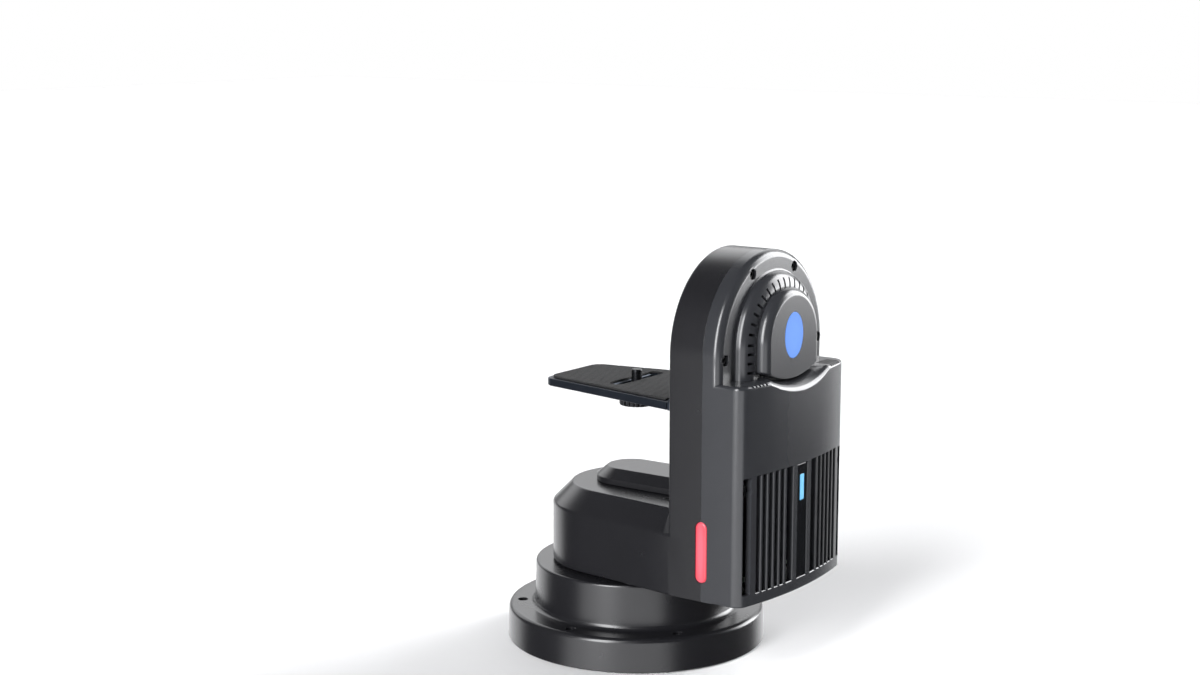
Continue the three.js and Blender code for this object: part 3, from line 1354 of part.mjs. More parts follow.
yoke.add(
  meshOf("turret_housing", makeTurretHousing(), castPaint),
  meshOf("arm_housing", makeArmHousing(), castPaint),
  meshOf("turret_plate", makeTurretPlate(), bareAluminium),
  meshOf("pan_bearing_outer_ring", makeOuterRing(panBearing, panRadii), steel, [0, 0, panBearingLow]),
  meshOf("neck_seal", makeNeckSeal(), blackRubber),
  meshOf("turret_cap", makeTurretCap(), mouldedPlastic),
  meshOf("pan_motor", makePanMotor(), blackSteel),
  meshOf("pan_motor_bracket", makePanMotorBracket(), bareAluminium),
  meshOf("arm_cover", makeArmCover(), mouldedPlastic),
  meshOf("tally_lens", makeTallyLens(), redLens),
  meshOf("tally_board", makeTallyBoard(), boardGreen),
  meshOf("status_window", makeStatusWindow(), blueLens),
  meshOf("status_board", makeStatusBoard(), boardGreen),
  meshOf("label_strip", makeLabelStrip(), blackPlastic),
  meshOf("label_tag", makeLabelTag(), blueTag),
  meshOf("drive_plate", makeDrivePlate(), bareAluminium),
  meshOf("tilt_motor", makeTiltMotor(), blackSteel),
  meshOf("main_board", makeMainBoard(), boardGreen),
  meshOf("heat_sink", makeHeatSink(), bareAluminium),
);
turretScrewPlaces.forEach(([x, y], i) => {
  yoke.add(meshOf(`turret_screw_${i + 1}`, makeTurretScrew(), blackSteel, [x, y, turretScrewSeat]));
});
coverScrews.forEach(({ y, z, seat }, i) => {
  yoke.add(meshOf(`cover_screw_${i + 1}`, makeCoverScrew(seat), blackSteel, [seat + fitGap, y, z]));
});

panPinion.add(
  meshOf("pan_pinion", makePinion(), brass, [0, 0, panPinionLow]),
  meshOf("pan_motor_shaft", rod(motorShaftRadius, panPinionLow - fitGap, panShaftTop, boreSegments), steel),
);
tiltPinion.add(
  meshOf("tilt_pinion", makePinion().rotate([0, 90, 0]), brass, [tiltPinionX, 0, 0]),
  meshOf("tilt_motor_shaft", rodX(motorShaftRadius, tiltPinionX - fitGap, tiltShaftTop, boreSegments), steel),
);

cradle.add(
  meshOf("tilt_shaft", makeTiltShaft(), steel),
  meshOf("tilt_gear", makeTiltGear(), brass),
  meshOf("shaft_ring", makeShaftRing(), blackSteel),
  meshOf("bracket_plate", makeBracketPlate(), darkAnodised),
  meshOf("camera_tray", makeTray(), darkAnodised),
  meshOf("tray_pad", makeTrayPad(), blackRubber),
  meshOf("screw_washer", makeScrewWasher(), steel),
  meshOf("camera_screw", makeCameraScrew(), blackSteel),
);
for (const [side, x] of Object.entries(tiltBearingPlaces)) {
  const innerRing = makeInnerRing(tiltBearing, tiltRadii).rotate([0, 90, 0]);
  const outerRing = makeOuterRing(tiltBearing, tiltRadii).rotate([0, 90, 0]);
  cradle.add(meshOf(`tilt_bearing_inner_ring_${side}`, innerRing, steel, [x, 0, 0]));
  yoke.add(meshOf(`tilt_bearing_outer_ring_${side}`, outerRing, steel, [x, 0, tiltAxisZ]));
}

export default root;
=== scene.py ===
import math

import bmesh
import bpy
from mathutils import Matrix, Vector


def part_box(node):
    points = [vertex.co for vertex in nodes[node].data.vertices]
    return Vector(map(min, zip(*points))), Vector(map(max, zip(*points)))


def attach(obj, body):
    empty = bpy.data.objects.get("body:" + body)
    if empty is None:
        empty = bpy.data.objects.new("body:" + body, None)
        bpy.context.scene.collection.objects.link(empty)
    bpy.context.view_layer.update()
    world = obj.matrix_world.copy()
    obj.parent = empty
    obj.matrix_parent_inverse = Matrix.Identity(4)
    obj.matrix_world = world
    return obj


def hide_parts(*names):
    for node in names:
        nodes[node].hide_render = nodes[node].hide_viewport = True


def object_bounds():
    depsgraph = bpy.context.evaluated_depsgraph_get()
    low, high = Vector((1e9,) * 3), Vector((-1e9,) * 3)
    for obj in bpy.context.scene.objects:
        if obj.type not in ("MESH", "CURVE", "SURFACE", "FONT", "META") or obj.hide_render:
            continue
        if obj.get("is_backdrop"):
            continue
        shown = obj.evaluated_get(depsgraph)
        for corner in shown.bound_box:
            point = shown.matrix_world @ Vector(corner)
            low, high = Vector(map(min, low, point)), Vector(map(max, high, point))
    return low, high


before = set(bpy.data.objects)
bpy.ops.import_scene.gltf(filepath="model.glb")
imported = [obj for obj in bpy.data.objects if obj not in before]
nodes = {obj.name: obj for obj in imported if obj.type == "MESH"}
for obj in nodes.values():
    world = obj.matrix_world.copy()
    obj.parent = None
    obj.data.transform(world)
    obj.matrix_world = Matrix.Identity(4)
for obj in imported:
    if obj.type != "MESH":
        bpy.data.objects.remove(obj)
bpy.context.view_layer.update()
scene = bpy.context.scene

# Sizes are in millimetres here, as in the part's source, and MM turns them to metres.
MM = 0.001

# Base
FLANGE_RADIUS = 75.0
FLANGE_TOP_RADIUS = 74.3
FLANGE_HEIGHT = 19.2
DRUM_RADIUS = 59.0
DRUM_TOP_RADIUS = 58.4
DRUM_TOP = 45.1
BASE_INNER_RADIUS = 54.4
BASE_CEILING = 41.1
PLATE_RECESS_RADIUS = 72.0
PLATE_TOP = 3.3
NECK_RADIUS = 24.0
PANEL_LOW = (-27, 43.5, 23.1)
PANEL_HIGH = (27, 62, 40.5)
MOUNT_CIRCLE = 66.4
SCREWED_ANGLES = (-88.5, -34.5, 34.5, 88.5)
MOUNT_ANGLES = (-144.5, *SCREWED_ANGLES, 144.5)
MOUNT_SEAT_Z = 14.8

# Turret and arm
TURRET_RADIUS = 48.4
TURRET_BOTTOM = 46.2
TURRET_WALL_TOP = 80.0
TURRET_TOP = 91.5
TURRET_SCREWS = ((40, -27), (40, 27))
TURRET_SEAT_Z = 89.5
ARM_HALF = 54.3
ARM_INNER_X = 58.8
PARTING_X = 80.5
COVER_START_X = 80.58
TILT_Z = 178.5
TALLY_Z = 73.5
WALL = 3.0
HOLLOW_Z = TURRET_BOTTOM + WALL

# Cover
ANNULUS_X = 91.0
ANNULUS_ROLL = 4.3
HOOD_FOOT_X = 92.2
HOOD_X = 98.2
HOOD_ROLL = 9.0
HOOD_HALF = 38.6
HOOD_LOW_Z = 158
HOOD_Z = 182.7
HOOD_INNER_X = 93.1
DOME_X = 104.3
DOME_HALF = 28.0
DOME_ROLL = 4.5
DOME_ROLL_DEPTH = 5.0
DOME_Z = 185.0
DOME_FOOT_RADIUS = 58.5
DOME_FOOT_Z = 221.3
WINDOW_Z = 187.2
LEDGE_Z = 166.4
SCALLOP_X = 98.9
RIM_RADIUS = 86.2
RIM_RISE = 25.1
CORNER_X = 105.2
CORNER_ROUND = 7.0
CROWN = 6.0
CROWN_RADIUS = (ARM_HALF**2 + CROWN**2) / (2 * CROWN)
CROWN_CENTRE_X = CORNER_X + CROWN - CROWN_RADIUS
COVER_WALL = 3.2

# Openings in the cover: vent slots in the hood, notches in the ledge (each cut's X span and depth) and
# the louvre panel (each slot's middle and half width)
VENT_X = (90.0, 99.5)
VENT_Y = (30.2, 35.4)
VENT_HALF = 0.75
VENT_COUNT = 19
VENT_TURN = 9.5
VENT_FIRST_TURN = 4.5
SIDE_VENT_Z = (179.65, 181.15)
SIDE_VENT_COUNT = 3
SIDE_VENT_STEP = 5.0
NOTCH_Y = (33.7, 35.2)
NOTCH_COUNT = 5
NOTCH_STEP = 2.75
NOTCH_CUTS = ((98.6, 106.0, 3.4), (105.5, 109.6, 1.3))
LOUVRE_LOW = 52.8
LOUVRE_HIGH = 117.0
LOUVRE_SPANS = [(19.5 + 5.15 * i, 1.6) for i in range(5)] + [(12.6, 2.9)]
LOUVRE_DEPTH = 14.0
POCKET_LOW = 46.1
POCKET_HIGH = 51.6
STRIP_HALF = 5.15
STRIP_DEPTH = 2.0

# Tilt cradle and camera screw
TRAY_TOP = TILT_Z - 28.0
TRAY_LOW = TILT_Z - 32.5
TRAY_ROOT_X = 49.9
TRAY_TIP_X = -48.0
TRAY_ROOT_HALF = 43.0
TRAY_TIP_HALF = 25.0
TRAY_CORNER = 7.0
SLOT_HALF_X = 3.5
SLOT_HALF_Y = 22
PAD_MARGIN = 2.5
PAD_LOW = TRAY_TOP + 0.3
BRACKET_X = (50.2, 54.2)
BRACKET_RADIUS = 25.0
KNOB_RADIUS = 10.0
KNOB_LOW = 136.2
KNOB_TOP = 144.2
THREAD_RADIUS = 3.1
THREAD_TOP = 157.0

# Facets, tolerances in millimetres and degrees, and the gap under the screws' heads
ROUND_STEPS = 6
ARCH_STEPS = 72
OVAL_STEPS = 72
BULLNOSE_STEPS = 12
BASE_STEPS = 160
MERGE = 0.002
SLIVER = 0.001
FLAT_ANGLE = 0.2
OVERLAP = 0.01
HEAD_GAP = 0.3


# Outlines and profiles, as lists of (u, v) points in millimetres
def arc(centre_u, centre_v, radius, start, end, steps):
    turn = [math.radians(start + (end - start) * i / steps) for i in range(steps + 1)]
    return [(centre_u + radius * math.cos(a), centre_v + radius * math.sin(a)) for a in turn]


def soften(path, radii, steps=ROUND_STEPS):
    """A path whose inner corners are rounded, each by its own radius."""
    made = [path[0]]
    for (before, corner, after), radius in zip(zip(path, path[1:], path[2:]), radii):
        c = Vector(corner)
        to_before = (Vector(before) - c).normalized()
        to_after = (Vector(after) - c).normalized()
        if radius <= 0:
            made.append(corner)
            continue
        half = to_before.angle(to_after) / 2
        reach = radius / math.tan(half)
        centre = c + (to_before + to_after).normalized() * (radius / math.sin(half))
        start = c + to_before * reach - centre
        sweep = start.angle_signed(c + to_after * reach - centre)
        for i in range(steps + 1):
            spoke = start.copy()
            spoke.rotate(Matrix.Rotation(-sweep * i / steps, 2))
            made.append(tuple(centre + spoke))
    made.append(path[-1])
    return made


def arch(half, foot, centre):
    return [(-half, foot), (half, foot)] + arc(0, centre, half, 0, 180, ARCH_STEPS)


def rounded_box(low_u, low_v, high_u, high_v, radius, steps=6):
    corners = (
        (high_u - radius, high_v - radius, 0),
        (low_u + radius, high_v - radius, 90),
        (low_u + radius, low_v + radius, 180),
        (high_u - radius, low_v + radius, 270),
    )
    return [p for a, b, start in corners for p in arc(a, b, radius, start, start + 90, steps)]


def slot_outline(u, v, half_u, half_v, steps=8):
    return rounded_box(u - half_u, v - half_v, u + half_u, v + half_v, min(half_u, half_v), steps)


def edge_levels(low, high, low_round, high_round, steps=ROUND_STEPS):
    """(inset, height) pairs of a straight wall with round edges; 0 keeps the near edge sharp."""
    path = [(low_round, low), (0, low), (0, high), (high_round, high)]
    if low_round:
        return soften(path, (low_round, high_round), steps)[1:-1]
    return [(0, low)] + soften(path[1:], (high_round,), steps)[1:-1]


def bullnose(low, high, reach, depth):
    """(inset, height) pairs of a wall whose far edge rolls over as a quarter of an ellipse."""
    turn = [math.radians(90 * i / BULLNOSE_STEPS) for i in range(BULLNOSE_STEPS + 1)]
    return [(0, low)] + [(reach * (1 - math.cos(t)), high - depth + depth * math.sin(t)) for t in turn]


# Meshes
def new_piece(name, points, faces):
    mesh = bpy.data.meshes.new(name)
    mesh.from_pydata([(x * MM, y * MM, z * MM) for x, y, z in points], [], faces)
    obj = bpy.data.objects.new(name, mesh)
    scene.collection.objects.link(obj)
    tidy(obj)
    return obj


def tidy(obj, flat=False):
    """Merges doubles and points every face outwards; if asked, facets in one plane become one face."""
    bm = bmesh.new()
    bm.from_mesh(obj.data)
    bmesh.ops.remove_doubles(bm, verts=bm.verts, dist=MERGE * MM)
    bmesh.ops.dissolve_degenerate(bm, edges=bm.edges, dist=SLIVER * MM)
    if flat:
        bmesh.ops.dissolve_limit(bm, angle_limit=math.radians(FLAT_ANGLE), verts=bm.verts, edges=bm.edges)
    bmesh.ops.recalc_face_normals(bm, faces=bm.faces)
    bm.to_mesh(obj.data)
    bm.free()


def loft(name, rings, loop=False):
    """A closed body through rings of the same number of points, with flat ends or as one loop."""
    count, total = len(rings[0]), len(rings)
    faces = []
    for i in range(total if loop else total - 1):
        a, b = i * count, (i + 1) % total * count
        for j in range(count):
            k = (j + 1) % count
            faces.append((a + j, a + k, b + k, b + j))
    if not loop:
        last = (total - 1) * count
        faces += [tuple(range(count))[::-1], tuple(range(last, last + count))]
    return new_piece(name, [p for ring in rings for p in ring], faces)


def prism_x(name, outline, levels):
    return loft(name, [[(x, u, v) for u, v in outline(inset)] for inset, x in levels])


def prism_y(name, outline, levels):
    return loft(name, [[(u, y, v) for u, v in outline(inset)] for inset, y in levels])


def prism_z(name, outline, levels):
    return loft(name, [[(u, v, z) for u, v in outline(inset)] for inset, z in levels])


def box(name, low, high):
    outline = [(low[0], low[1]), (high[0], low[1]), (high[0], high[1]), (low[0], high[1])]
    return prism_z(name, lambda inset: outline, [(0, low[2]), (0, high[2])])


def turned(name, profile, segments, centre=(0, 0, 0), axis="Z"):
    """A closed outline of (radius, height) points turned about an axis."""
    rings = []
    for i in range(segments):
        a = 2 * math.pi * i / segments
        ring = []
        for r, h in profile:
            u, v = r * math.cos(a), r * math.sin(a)
            point = {"X": (h, u, v), "Y": (u, h, v), "Z": (u, v, h)}[axis]
            ring.append(tuple(c + p for c, p in zip(centre, point)))
        rings.append(ring)
    return loft(name, rings, loop=True)


def rod(name, radius, low, high, centre=(0, 0, 0), axis="Z", segments=48, chamfer=0.0):
    """A plain round bar, or one whose far end flares by a chamfer when it is a cutter."""
    profile = [(0, low), (radius, low), (radius, high - chamfer), (radius + chamfer, high), (0, high)]
    return turned(name, profile, segments, centre, axis)


def bake(obj):
    """The modifiers' result becomes the plain mesh."""
    evaluated = obj.evaluated_get(bpy.context.evaluated_depsgraph_get())
    mesh = bpy.data.meshes.new_from_object(evaluated)
    old = obj.data
    obj.modifiers.clear()
    obj.data = mesh
    mesh.name = obj.name
    if old.users == 0:
        bpy.data.meshes.remove(old)
    return obj


def combine(obj, operation, *tools):
    for tool in tools:
        modifier = obj.modifiers.new("combine", "BOOLEAN")
        modifier.operation = operation
        modifier.solver = "MANIFOLD"
        modifier.object = tool
    bake(obj)
    for tool in tools:
        bpy.data.objects.remove(tool)
    return obj


def cut(obj, *tools):
    return combine(obj, "DIFFERENCE", *tools)


def join(obj, *tools):
    return combine(obj, "UNION", *tools)


def split(obj, planes):
    """Cuts the faces along planes, each a point in millimetres and a normal, and keeps both sides."""
    bm = bmesh.new()
    bm.from_mesh(obj.data)
    for point, normal in planes:
        bmesh.ops.bisect_plane(bm, geom=bm.verts[:] + bm.edges[:] + bm.faces[:], dist=SLIVER * MM,
                               plane_co=[c * MM for c in point], plane_no=normal)
    bm.to_mesh(obj.data)
    bm.free()


def finish_mesh(obj, angle=30, planes=()):
    """Flat faces made whole, or split along planes, and smooth shading between sharp edges."""
    tidy(obj, flat=True)
    split(obj, planes)
    obj.data.polygons.foreach_set("use_smooth", [True] * len(obj.data.polygons))
    obj.data.set_sharp_from_angle(angle=math.radians(angle))
    weighted = obj.modifiers.new("normals", "WEIGHTED_NORMAL")
    weighted.keep_sharp = True
    weighted.mode = "FACE_AREA"
    return bake(obj)


def dress(obj, material, body, *stands_for, slot=None):
    obj.data.materials.clear()
    obj.data.materials.append(material)
    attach(obj, body)
    if stands_for:
        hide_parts(*stands_for)
    return obj


# Geometry Nodes: trees that repeat one shape
def new_tree(name, inputs):
    tree = bpy.data.node_groups.new(name, "GeometryNodeTree")
    tree.interface.new_socket("Geometry", in_out="INPUT", socket_type="NodeSocketGeometry")
    for label, kind in inputs:
        tree.interface.new_socket(label, in_out="INPUT", socket_type=f"NodeSocket{kind}")
    tree.interface.new_socket("Geometry", in_out="OUTPUT", socket_type="NodeSocketGeometry")
    return tree, tree.nodes.new("NodeGroupInput"), tree.nodes.new("NodeGroupOutput")


def add(tree, kind, inputs=None, **settings):
    """One node with its values or links, and its settings."""
    node = tree.nodes.new(kind)
    for name, value in settings.items():
        setattr(node, name, value)
    for name, value in (inputs or {}).items():
        socket = node.inputs[name]
        if isinstance(value, bpy.types.NodeSocket):
            tree.links.new(value, socket)
        else:
            socket.default_value = value
    return node


def maths(tree, operation, *values):
    return add(tree, "ShaderNodeMath", dict(enumerate(values)), operation=operation).outputs[0]


def close_tree(tree, given, result, instances):
    """Ends a tree: its instances become a plain mesh in the material that was given."""
    real = add(tree, "GeometryNodeRealizeInstances", {0: instances})
    painted = add(tree, "GeometryNodeSetMaterial",
                  {"Geometry": real.outputs[0], "Material": given.outputs["Material"]})
    tree.links.new(painted.outputs[0], result.inputs[0])
    return tree


def row_tree():
    """Copies of the shape in a straight row, and each one turned a little further if asked."""
    tree, given, result = new_tree(
        "copies in a row",
        (("Count", "Int"), ("Step", "Vector"), ("Turn", "Vector"), ("First turn", "Vector"),
         ("Pivot", "Vector"), ("Material", "Material")),
    )
    asked = given.outputs
    line = add(tree, "GeometryNodeMeshLine", {"Count": asked["Count"], "Offset": asked["Step"]})
    copies = add(tree, "GeometryNodeInstanceOnPoints",
                 {"Points": line.outputs[0], "Instance": asked["Geometry"]})
    index = add(tree, "GeometryNodeInputIndex")
    turn = add(tree, "ShaderNodeVectorMath", {0: asked["Turn"], "Scale": index.outputs[0]}, operation="SCALE")
    total = add(tree, "ShaderNodeVectorMath", {0: turn.outputs[0], 1: asked["First turn"]}, operation="ADD")
    turned_copies = add(tree, "GeometryNodeRotateInstances",
                        {"Instances": copies.outputs[0], "Rotation": total.outputs[0],
                         "Pivot Point": asked["Pivot"], "Local Space": False})
    return close_tree(tree, given, result, turned_copies.outputs[0])


# What a cap screw measures if its set doesn't say otherwise
SCREW_SIZES = {
    "head_radius": 2.6, "head_height": 2.0, "rim": 0.3, "socket_radius": 1.4, "socket_depth": 1.2,
    "shank_radius": 1.5, "shank_length": 2.0,
}


def screw_tree():
    """Cap screws on the given points: a head with a bevelled rim and a hexagon socket, and a shank."""
    sizes = tuple((label, "Float") for label in SCREW_SIZES)
    tree, given, result = new_tree("socket screws", sizes + (("Turn", "Vector"), ("Material", "Material")))
    size = given.outputs

    def stub(vertices, low_radius, high_radius, depth):
        return add(tree, "GeometryNodeMeshCone",
                   {"Vertices": vertices, "Radius Top": high_radius, "Radius Bottom": low_radius,
                    "Depth": depth}).outputs[0]

    def lifted(geometry, height):
        offset = add(tree, "ShaderNodeCombineXYZ", {"Z": height}).outputs[0]
        return add(tree, "GeometryNodeTransform", {"Geometry": geometry, "Translation": offset}).outputs[0]

    head_radius, head_height, rim = size["head_radius"], size["head_height"], size["rim"]
    wall_height = maths(tree, "SUBTRACT", head_height, rim)
    head = stub(40, head_radius, head_radius, wall_height)
    bevelled = lifted(stub(40, head_radius, maths(tree, "SUBTRACT", head_radius, rim), rim), wall_height)
    hexagon = lifted(stub(6, size["socket_radius"], size["socket_radius"],
                          maths(tree, "ADD", size["socket_depth"], head_height)),
                     maths(tree, "SUBTRACT", head_height, size["socket_depth"]))
    shank = lifted(stub(24, size["shank_radius"], size["shank_radius"],
                        maths(tree, "ADD", size["shank_length"], rim)),
                   maths(tree, "MULTIPLY", size["shank_length"], -1.0))
    whole = add(tree, "GeometryNodeMeshBoolean", operation="UNION", solver="EXACT")
    for part in (head, bevelled, shank):
        tree.links.new(part, whole.inputs["Mesh 2"])
    screw = add(tree, "GeometryNodeMeshBoolean",
                {"Mesh 1": whole.outputs[0], "Mesh 2": hexagon}, operation="DIFFERENCE", solver="EXACT")
    rotation = add(tree, "FunctionNodeEulerToRotation", {0: size["Turn"]})
    copies = add(tree, "GeometryNodeInstanceOnPoints",
                 {"Points": size["Geometry"], "Instance": screw.outputs[0], "Rotation": rotation.outputs[0]})
    return close_tree(tree, given, result, copies.outputs[0])


ROW = row_tree()
SCREWS = screw_tree()


def grow(obj, tree, values):
    """Runs a tree on an object, with its inputs set by name, and keeps the plain mesh."""
    modifier = obj.modifiers.new("grow", "NODES")
    modifier.node_group = tree
    named = {item.name: item.identifier for item in tree.interface.items_tree if item.in_out == "INPUT"}
    for name, value in values.items():
        modifier[named[name]] = value
    return bake(obj)


def row(obj, count, step, turn=(0, 0, 0), first=(0, 0, 0), pivot=(0, 0, 0)):
    """A row of copies; steps and pivot in millimetres, turns in degrees."""
    return grow(obj, ROW, {
        "Count": count,
        "Step": [s * MM for s in step],
        "Turn": [math.radians(a) for a in turn],
        "First turn": [math.radians(a) for a in first],
        "Pivot": [p * MM for p in pivot],
        "Material": None,
    })


def cap_screws(name, places, body, *stands_for, turn=(0, 0, 0), **sizes):
    """Black-oxide socket screws whose heads sit on the given places, in millimetres."""
    obj = new_piece(name, places, [])
    values = {label: size * MM for label, size in {**SCREW_SIZES, **sizes}.items()}
    grow(obj, SCREWS, {**values, "Turn": [math.radians(a) for a in turn], "Material": black_oxide})
    dress(finish_mesh(obj, angle=25), black_oxide, body, *stands_for, slot="black_steel")


# Materials
PLASTIC_IOR = 1.5
LENS_IOR = 1.58


def linear(code):
    """sRGB hex to a linear colour."""
    parts = [int(code[i:i + 2], 16) / 255 for i in (1, 3, 5)]
    return tuple(c / 12.92 if c <= 0.04045 else ((c + 0.055) / 1.055) ** 2.4 for c in parts) + (1.0,)


def per(size_mm):
    """The scale of a pattern whose features are this many millimetres apart."""
    return 1000.0 / size_mm


def new_material(name):
    material = bpy.data.materials.new(name)
    material.use_nodes = True
    material.node_tree.nodes.clear()
    return material, material.node_tree


def surface(name, colours, roughness, *, metallic=0.0, patch=30.0, rough_spread=0.06, rough_grain=2.0,
            grain=0.5, bump=0.0, bump_distance=0.02, brushed=None):
    """A finish: colour that drifts between two tones, roughness that varies, and a grain in relief."""
    material, tree = new_material(name)
    vector = add(tree, "ShaderNodeTexCoord").outputs["Object"]
    stretched = vector
    if brushed:
        stretched = add(tree, "ShaderNodeMapping", {"Vector": vector, "Scale": brushed}).outputs[0]
    drift = add(tree, "ShaderNodeTexNoise",
                {"Vector": vector, "Scale": per(patch), "Detail": 3.0, "Roughness": 0.6})
    tone = add(tree, "ShaderNodeMix",
               {"Factor": drift.outputs["Fac"], "A": linear(colours[0]), "B": linear(colours[1])},
               data_type="RGBA")
    wear = add(tree, "ShaderNodeTexNoise", {"Vector": stretched, "Scale": per(rough_grain), "Detail": 2.0})
    rough = add(tree, "ShaderNodeMapRange",
                {"Value": wear.outputs["Fac"], "From Min": 0.3, "From Max": 0.7,
                 "To Min": roughness - rough_spread, "To Max": roughness + rough_spread})
    shader = add(tree, "ShaderNodeBsdfPrincipled",
                 {"Base Color": tone.outputs["Result"], "Roughness": rough.outputs["Result"],
                  "Metallic": metallic})
    if not metallic:
        shader.inputs["IOR"].default_value = PLASTIC_IOR
    if bump:
        grains = add(tree, "ShaderNodeTexNoise",
                     {"Vector": stretched, "Scale": per(grain), "Detail": 2.0, "Roughness": 0.55})
        relief = add(tree, "ShaderNodeBump",
                     {"Height": grains.outputs["Fac"], "Strength": bump, "Distance": bump_distance * MM})
        tree.links.new(relief.outputs[0], shader.inputs["Normal"])
    add(tree, "ShaderNodeOutputMaterial", {"Surface": shader.outputs[0]})
    return material


# Die-cast aluminium, satin powder coat: charcoal with a cool cast and long soft highlights, which the
# coat's orange peel, about 2.4 mm from crest to crest, makes waver a little.
powder_coat = surface("Powder_coated_die_casting", ("#18181a", "#1b1b1e"), 0.27, rough_spread=0.004,
                      rough_grain=14.0, grain=2.4, bump=0.06, bump_distance=0.02)
# Injection-moulded ABS with a spark-eroded grain: a touch lighter and softer than the casting.
moulded_abs = surface("Moulded_ABS_spark_grain", ("#2a2b2e", "#2f3033"), 0.24, rough_spread=0.008,
                      rough_grain=1.6, grain=0.8, bump=0.11, bump_distance=0.02)
# The turret's cap: the same ABS from a polished mould, near black and even.
smooth_abs = surface("Moulded_ABS_smooth", ("#19191b", "#1d1d1f"), 0.27, rough_spread=0.004,
                     rough_grain=12.0, grain=2.0, bump=0.05, bump_distance=0.015)
# Back-printed polyester label: glossy blue-black with slight waviness from its adhesive.
label_film = surface("Black_polyester_label", ("#08090c", "#0c0e12"), 0.16, rough_spread=0.03, patch=9.0,
                     rough_grain=2.0, grain=3.0, bump=0.05)
# Matt black ABS of the panel and sockets.
black_abs = surface("Matt_black_ABS", ("#0c0c0d", "#121213"), 0.42,
                    rough_grain=0.8, grain=0.4, bump=0.3)
# Nitrile rubber, matt, with the dust-like bloom that moulded rubber has.
rubber = surface("Moulded_nitrile_rubber", ("#121213", "#1c1c1d"), 0.78, patch=6.0,
                 rough_grain=1.0, grain=0.6, bump=0.5, bump_distance=0.05)
# Bead-blasted and dark anodised aluminium: a dull metal with a fine sparkle and a blue-grey cast.
anodised = surface("Dark_anodised_blasted_aluminium", ("#2b3038", "#343a44"), 0.42, metallic=0.85,
                   rough_grain=0.6, grain=0.35, bump=0.35)
# Milled aluminium, with the cutter's faint parallel marks every 0.8 mm.
milled = surface("Milled_aluminium", ("#a9abae", "#bcbdbf"), 0.34, metallic=1.0,
                 rough_grain=1.0, grain=0.8, bump=0.25, brushed=(0.15, 1.0, 1.0))
# Ground steel rings and shafts: bright, with fine grinding lines.
ground_steel = surface("Ground_steel", ("#9b9ca0", "#b0b1b4"), 0.24, metallic=1.0,
                       rough_grain=0.8, grain=0.5, bump=0.15, brushed=(1.0, 1.0, 0.2))
# Nickel-plated sheet of the sockets' shells: bright and even, with the faint dull spots of handling.
plated = surface("Nickel_plated_shell", ("#b4b2ab", "#c2c0b8"), 0.2, metallic=1.0, patch=5.0,
                 rough_spread=0.05, rough_grain=2.2, grain=1.2, bump=0.06)
# Black-oxide alloy steel of the cap screws: near black, oily satin.
black_oxide = surface("Black_oxide_steel", ("#1b1c1e", "#26272a"), 0.34, metallic=0.8,
                      rough_grain=0.7, grain=0.3, bump=0.2)
# Cut brass gears with a film of grease, which leaves glossy and dull patches.
brass = surface("Hobbed_brass", ("#a98a45", "#c0a05a"), 0.3, metallic=1.0, patch=8.0,
                rough_spread=0.12, rough_grain=3.0, grain=0.6, bump=0.2)
# Solder mask on glass-epoxy board: semi-gloss green with darker areas over bare laminate.
solder_mask = surface("Green_solder_mask", ("#123d28", "#1d5538"), 0.32, patch=5.0,
                      rough_grain=1.5, grain=0.9, bump=0.2)
# Printed polyester film of the plain tag: light blue, semi-matt.
film = surface("Light_blue_polyester_film", ("#63b9ea", "#74c6f2"), 0.42, patch=8.0,
               rough_grain=1.0, grain=0.6, bump=0.1)
# Gold-plated contact springs in the sockets.
gold = surface("Gold_plated_contacts", ("#c9a24a", "#d8b560"), 0.25, metallic=1.0,
               rough_grain=0.5, grain=0.3, bump=0.1)


def lit_lens(name, edge, middle, roughness, shine, centre, reach):
    """A diffusing polycarbonate lens lit from behind: its middle glows brighter than its rim."""
    material, tree = new_material(name)
    vector = add(tree, "ShaderNodeTexCoord").outputs["Object"]
    local = add(tree, "ShaderNodeMapping",
                {"Vector": vector, "Location": [c * MM for c in centre], "Scale": [r * MM for r in reach]},
                vector_type="TEXTURE")
    distance = add(tree, "ShaderNodeVectorMath", {0: local.outputs[0]}, operation="LENGTH")
    speck = add(tree, "ShaderNodeTexNoise", {"Vector": vector, "Scale": per(1.2)})
    grainy = maths(tree, "MULTIPLY_ADD", speck.outputs["Fac"], 0.08, distance.outputs["Value"])
    fall = add(tree, "ShaderNodeMapRange", {"Value": grainy, "From Min": 0.35, "From Max": 1.1})
    tone = add(tree, "ShaderNodeMix",
               {"Factor": fall.outputs["Result"], "A": linear(middle), "B": linear(edge)}, data_type="RGBA")
    relief = add(tree, "ShaderNodeBump",
                 {"Height": speck.outputs["Fac"], "Strength": 0.1, "Distance": 0.02 * MM})
    shader = add(tree, "ShaderNodeBsdfPrincipled",
                 {"Base Color": linear("#1a1a1c"), "Emission Color": tone.outputs["Result"],
                  "Normal": relief.outputs[0], "Roughness": roughness, "IOR": LENS_IOR,
                  "Specular IOR Level": shine, "Emission Strength": 0.97})
    add(tree, "ShaderNodeOutputMaterial", {"Surface": shader.outputs[0]})
    return material


# Opal polycarbonate light bar, lit pink-red, deeper along its rim.
red_lens = lit_lens("Lit_red_polycarbonate", "#ff3c50", "#ff7286", 0.3, 0.5,
                    (PARTING_X, -ARM_HALF, TALLY_Z), (3.4, 4.0, 30.0))
# Opal polycarbonate window, lit an even light blue.
blue_window = lit_lens("Lit_blue_polycarbonate", "#6198f8", "#69a0ff", 0.5, 0.1,
                       (104.4, 0, WINDOW_Z), (8.0, 11.0, 14.5))


# Base casting: flange, coved foot, drum, mounting holes and the window of the connector panel
def polar(radius, degrees):
    a = math.radians(degrees)
    return radius * math.cos(a), radius * math.sin(a)


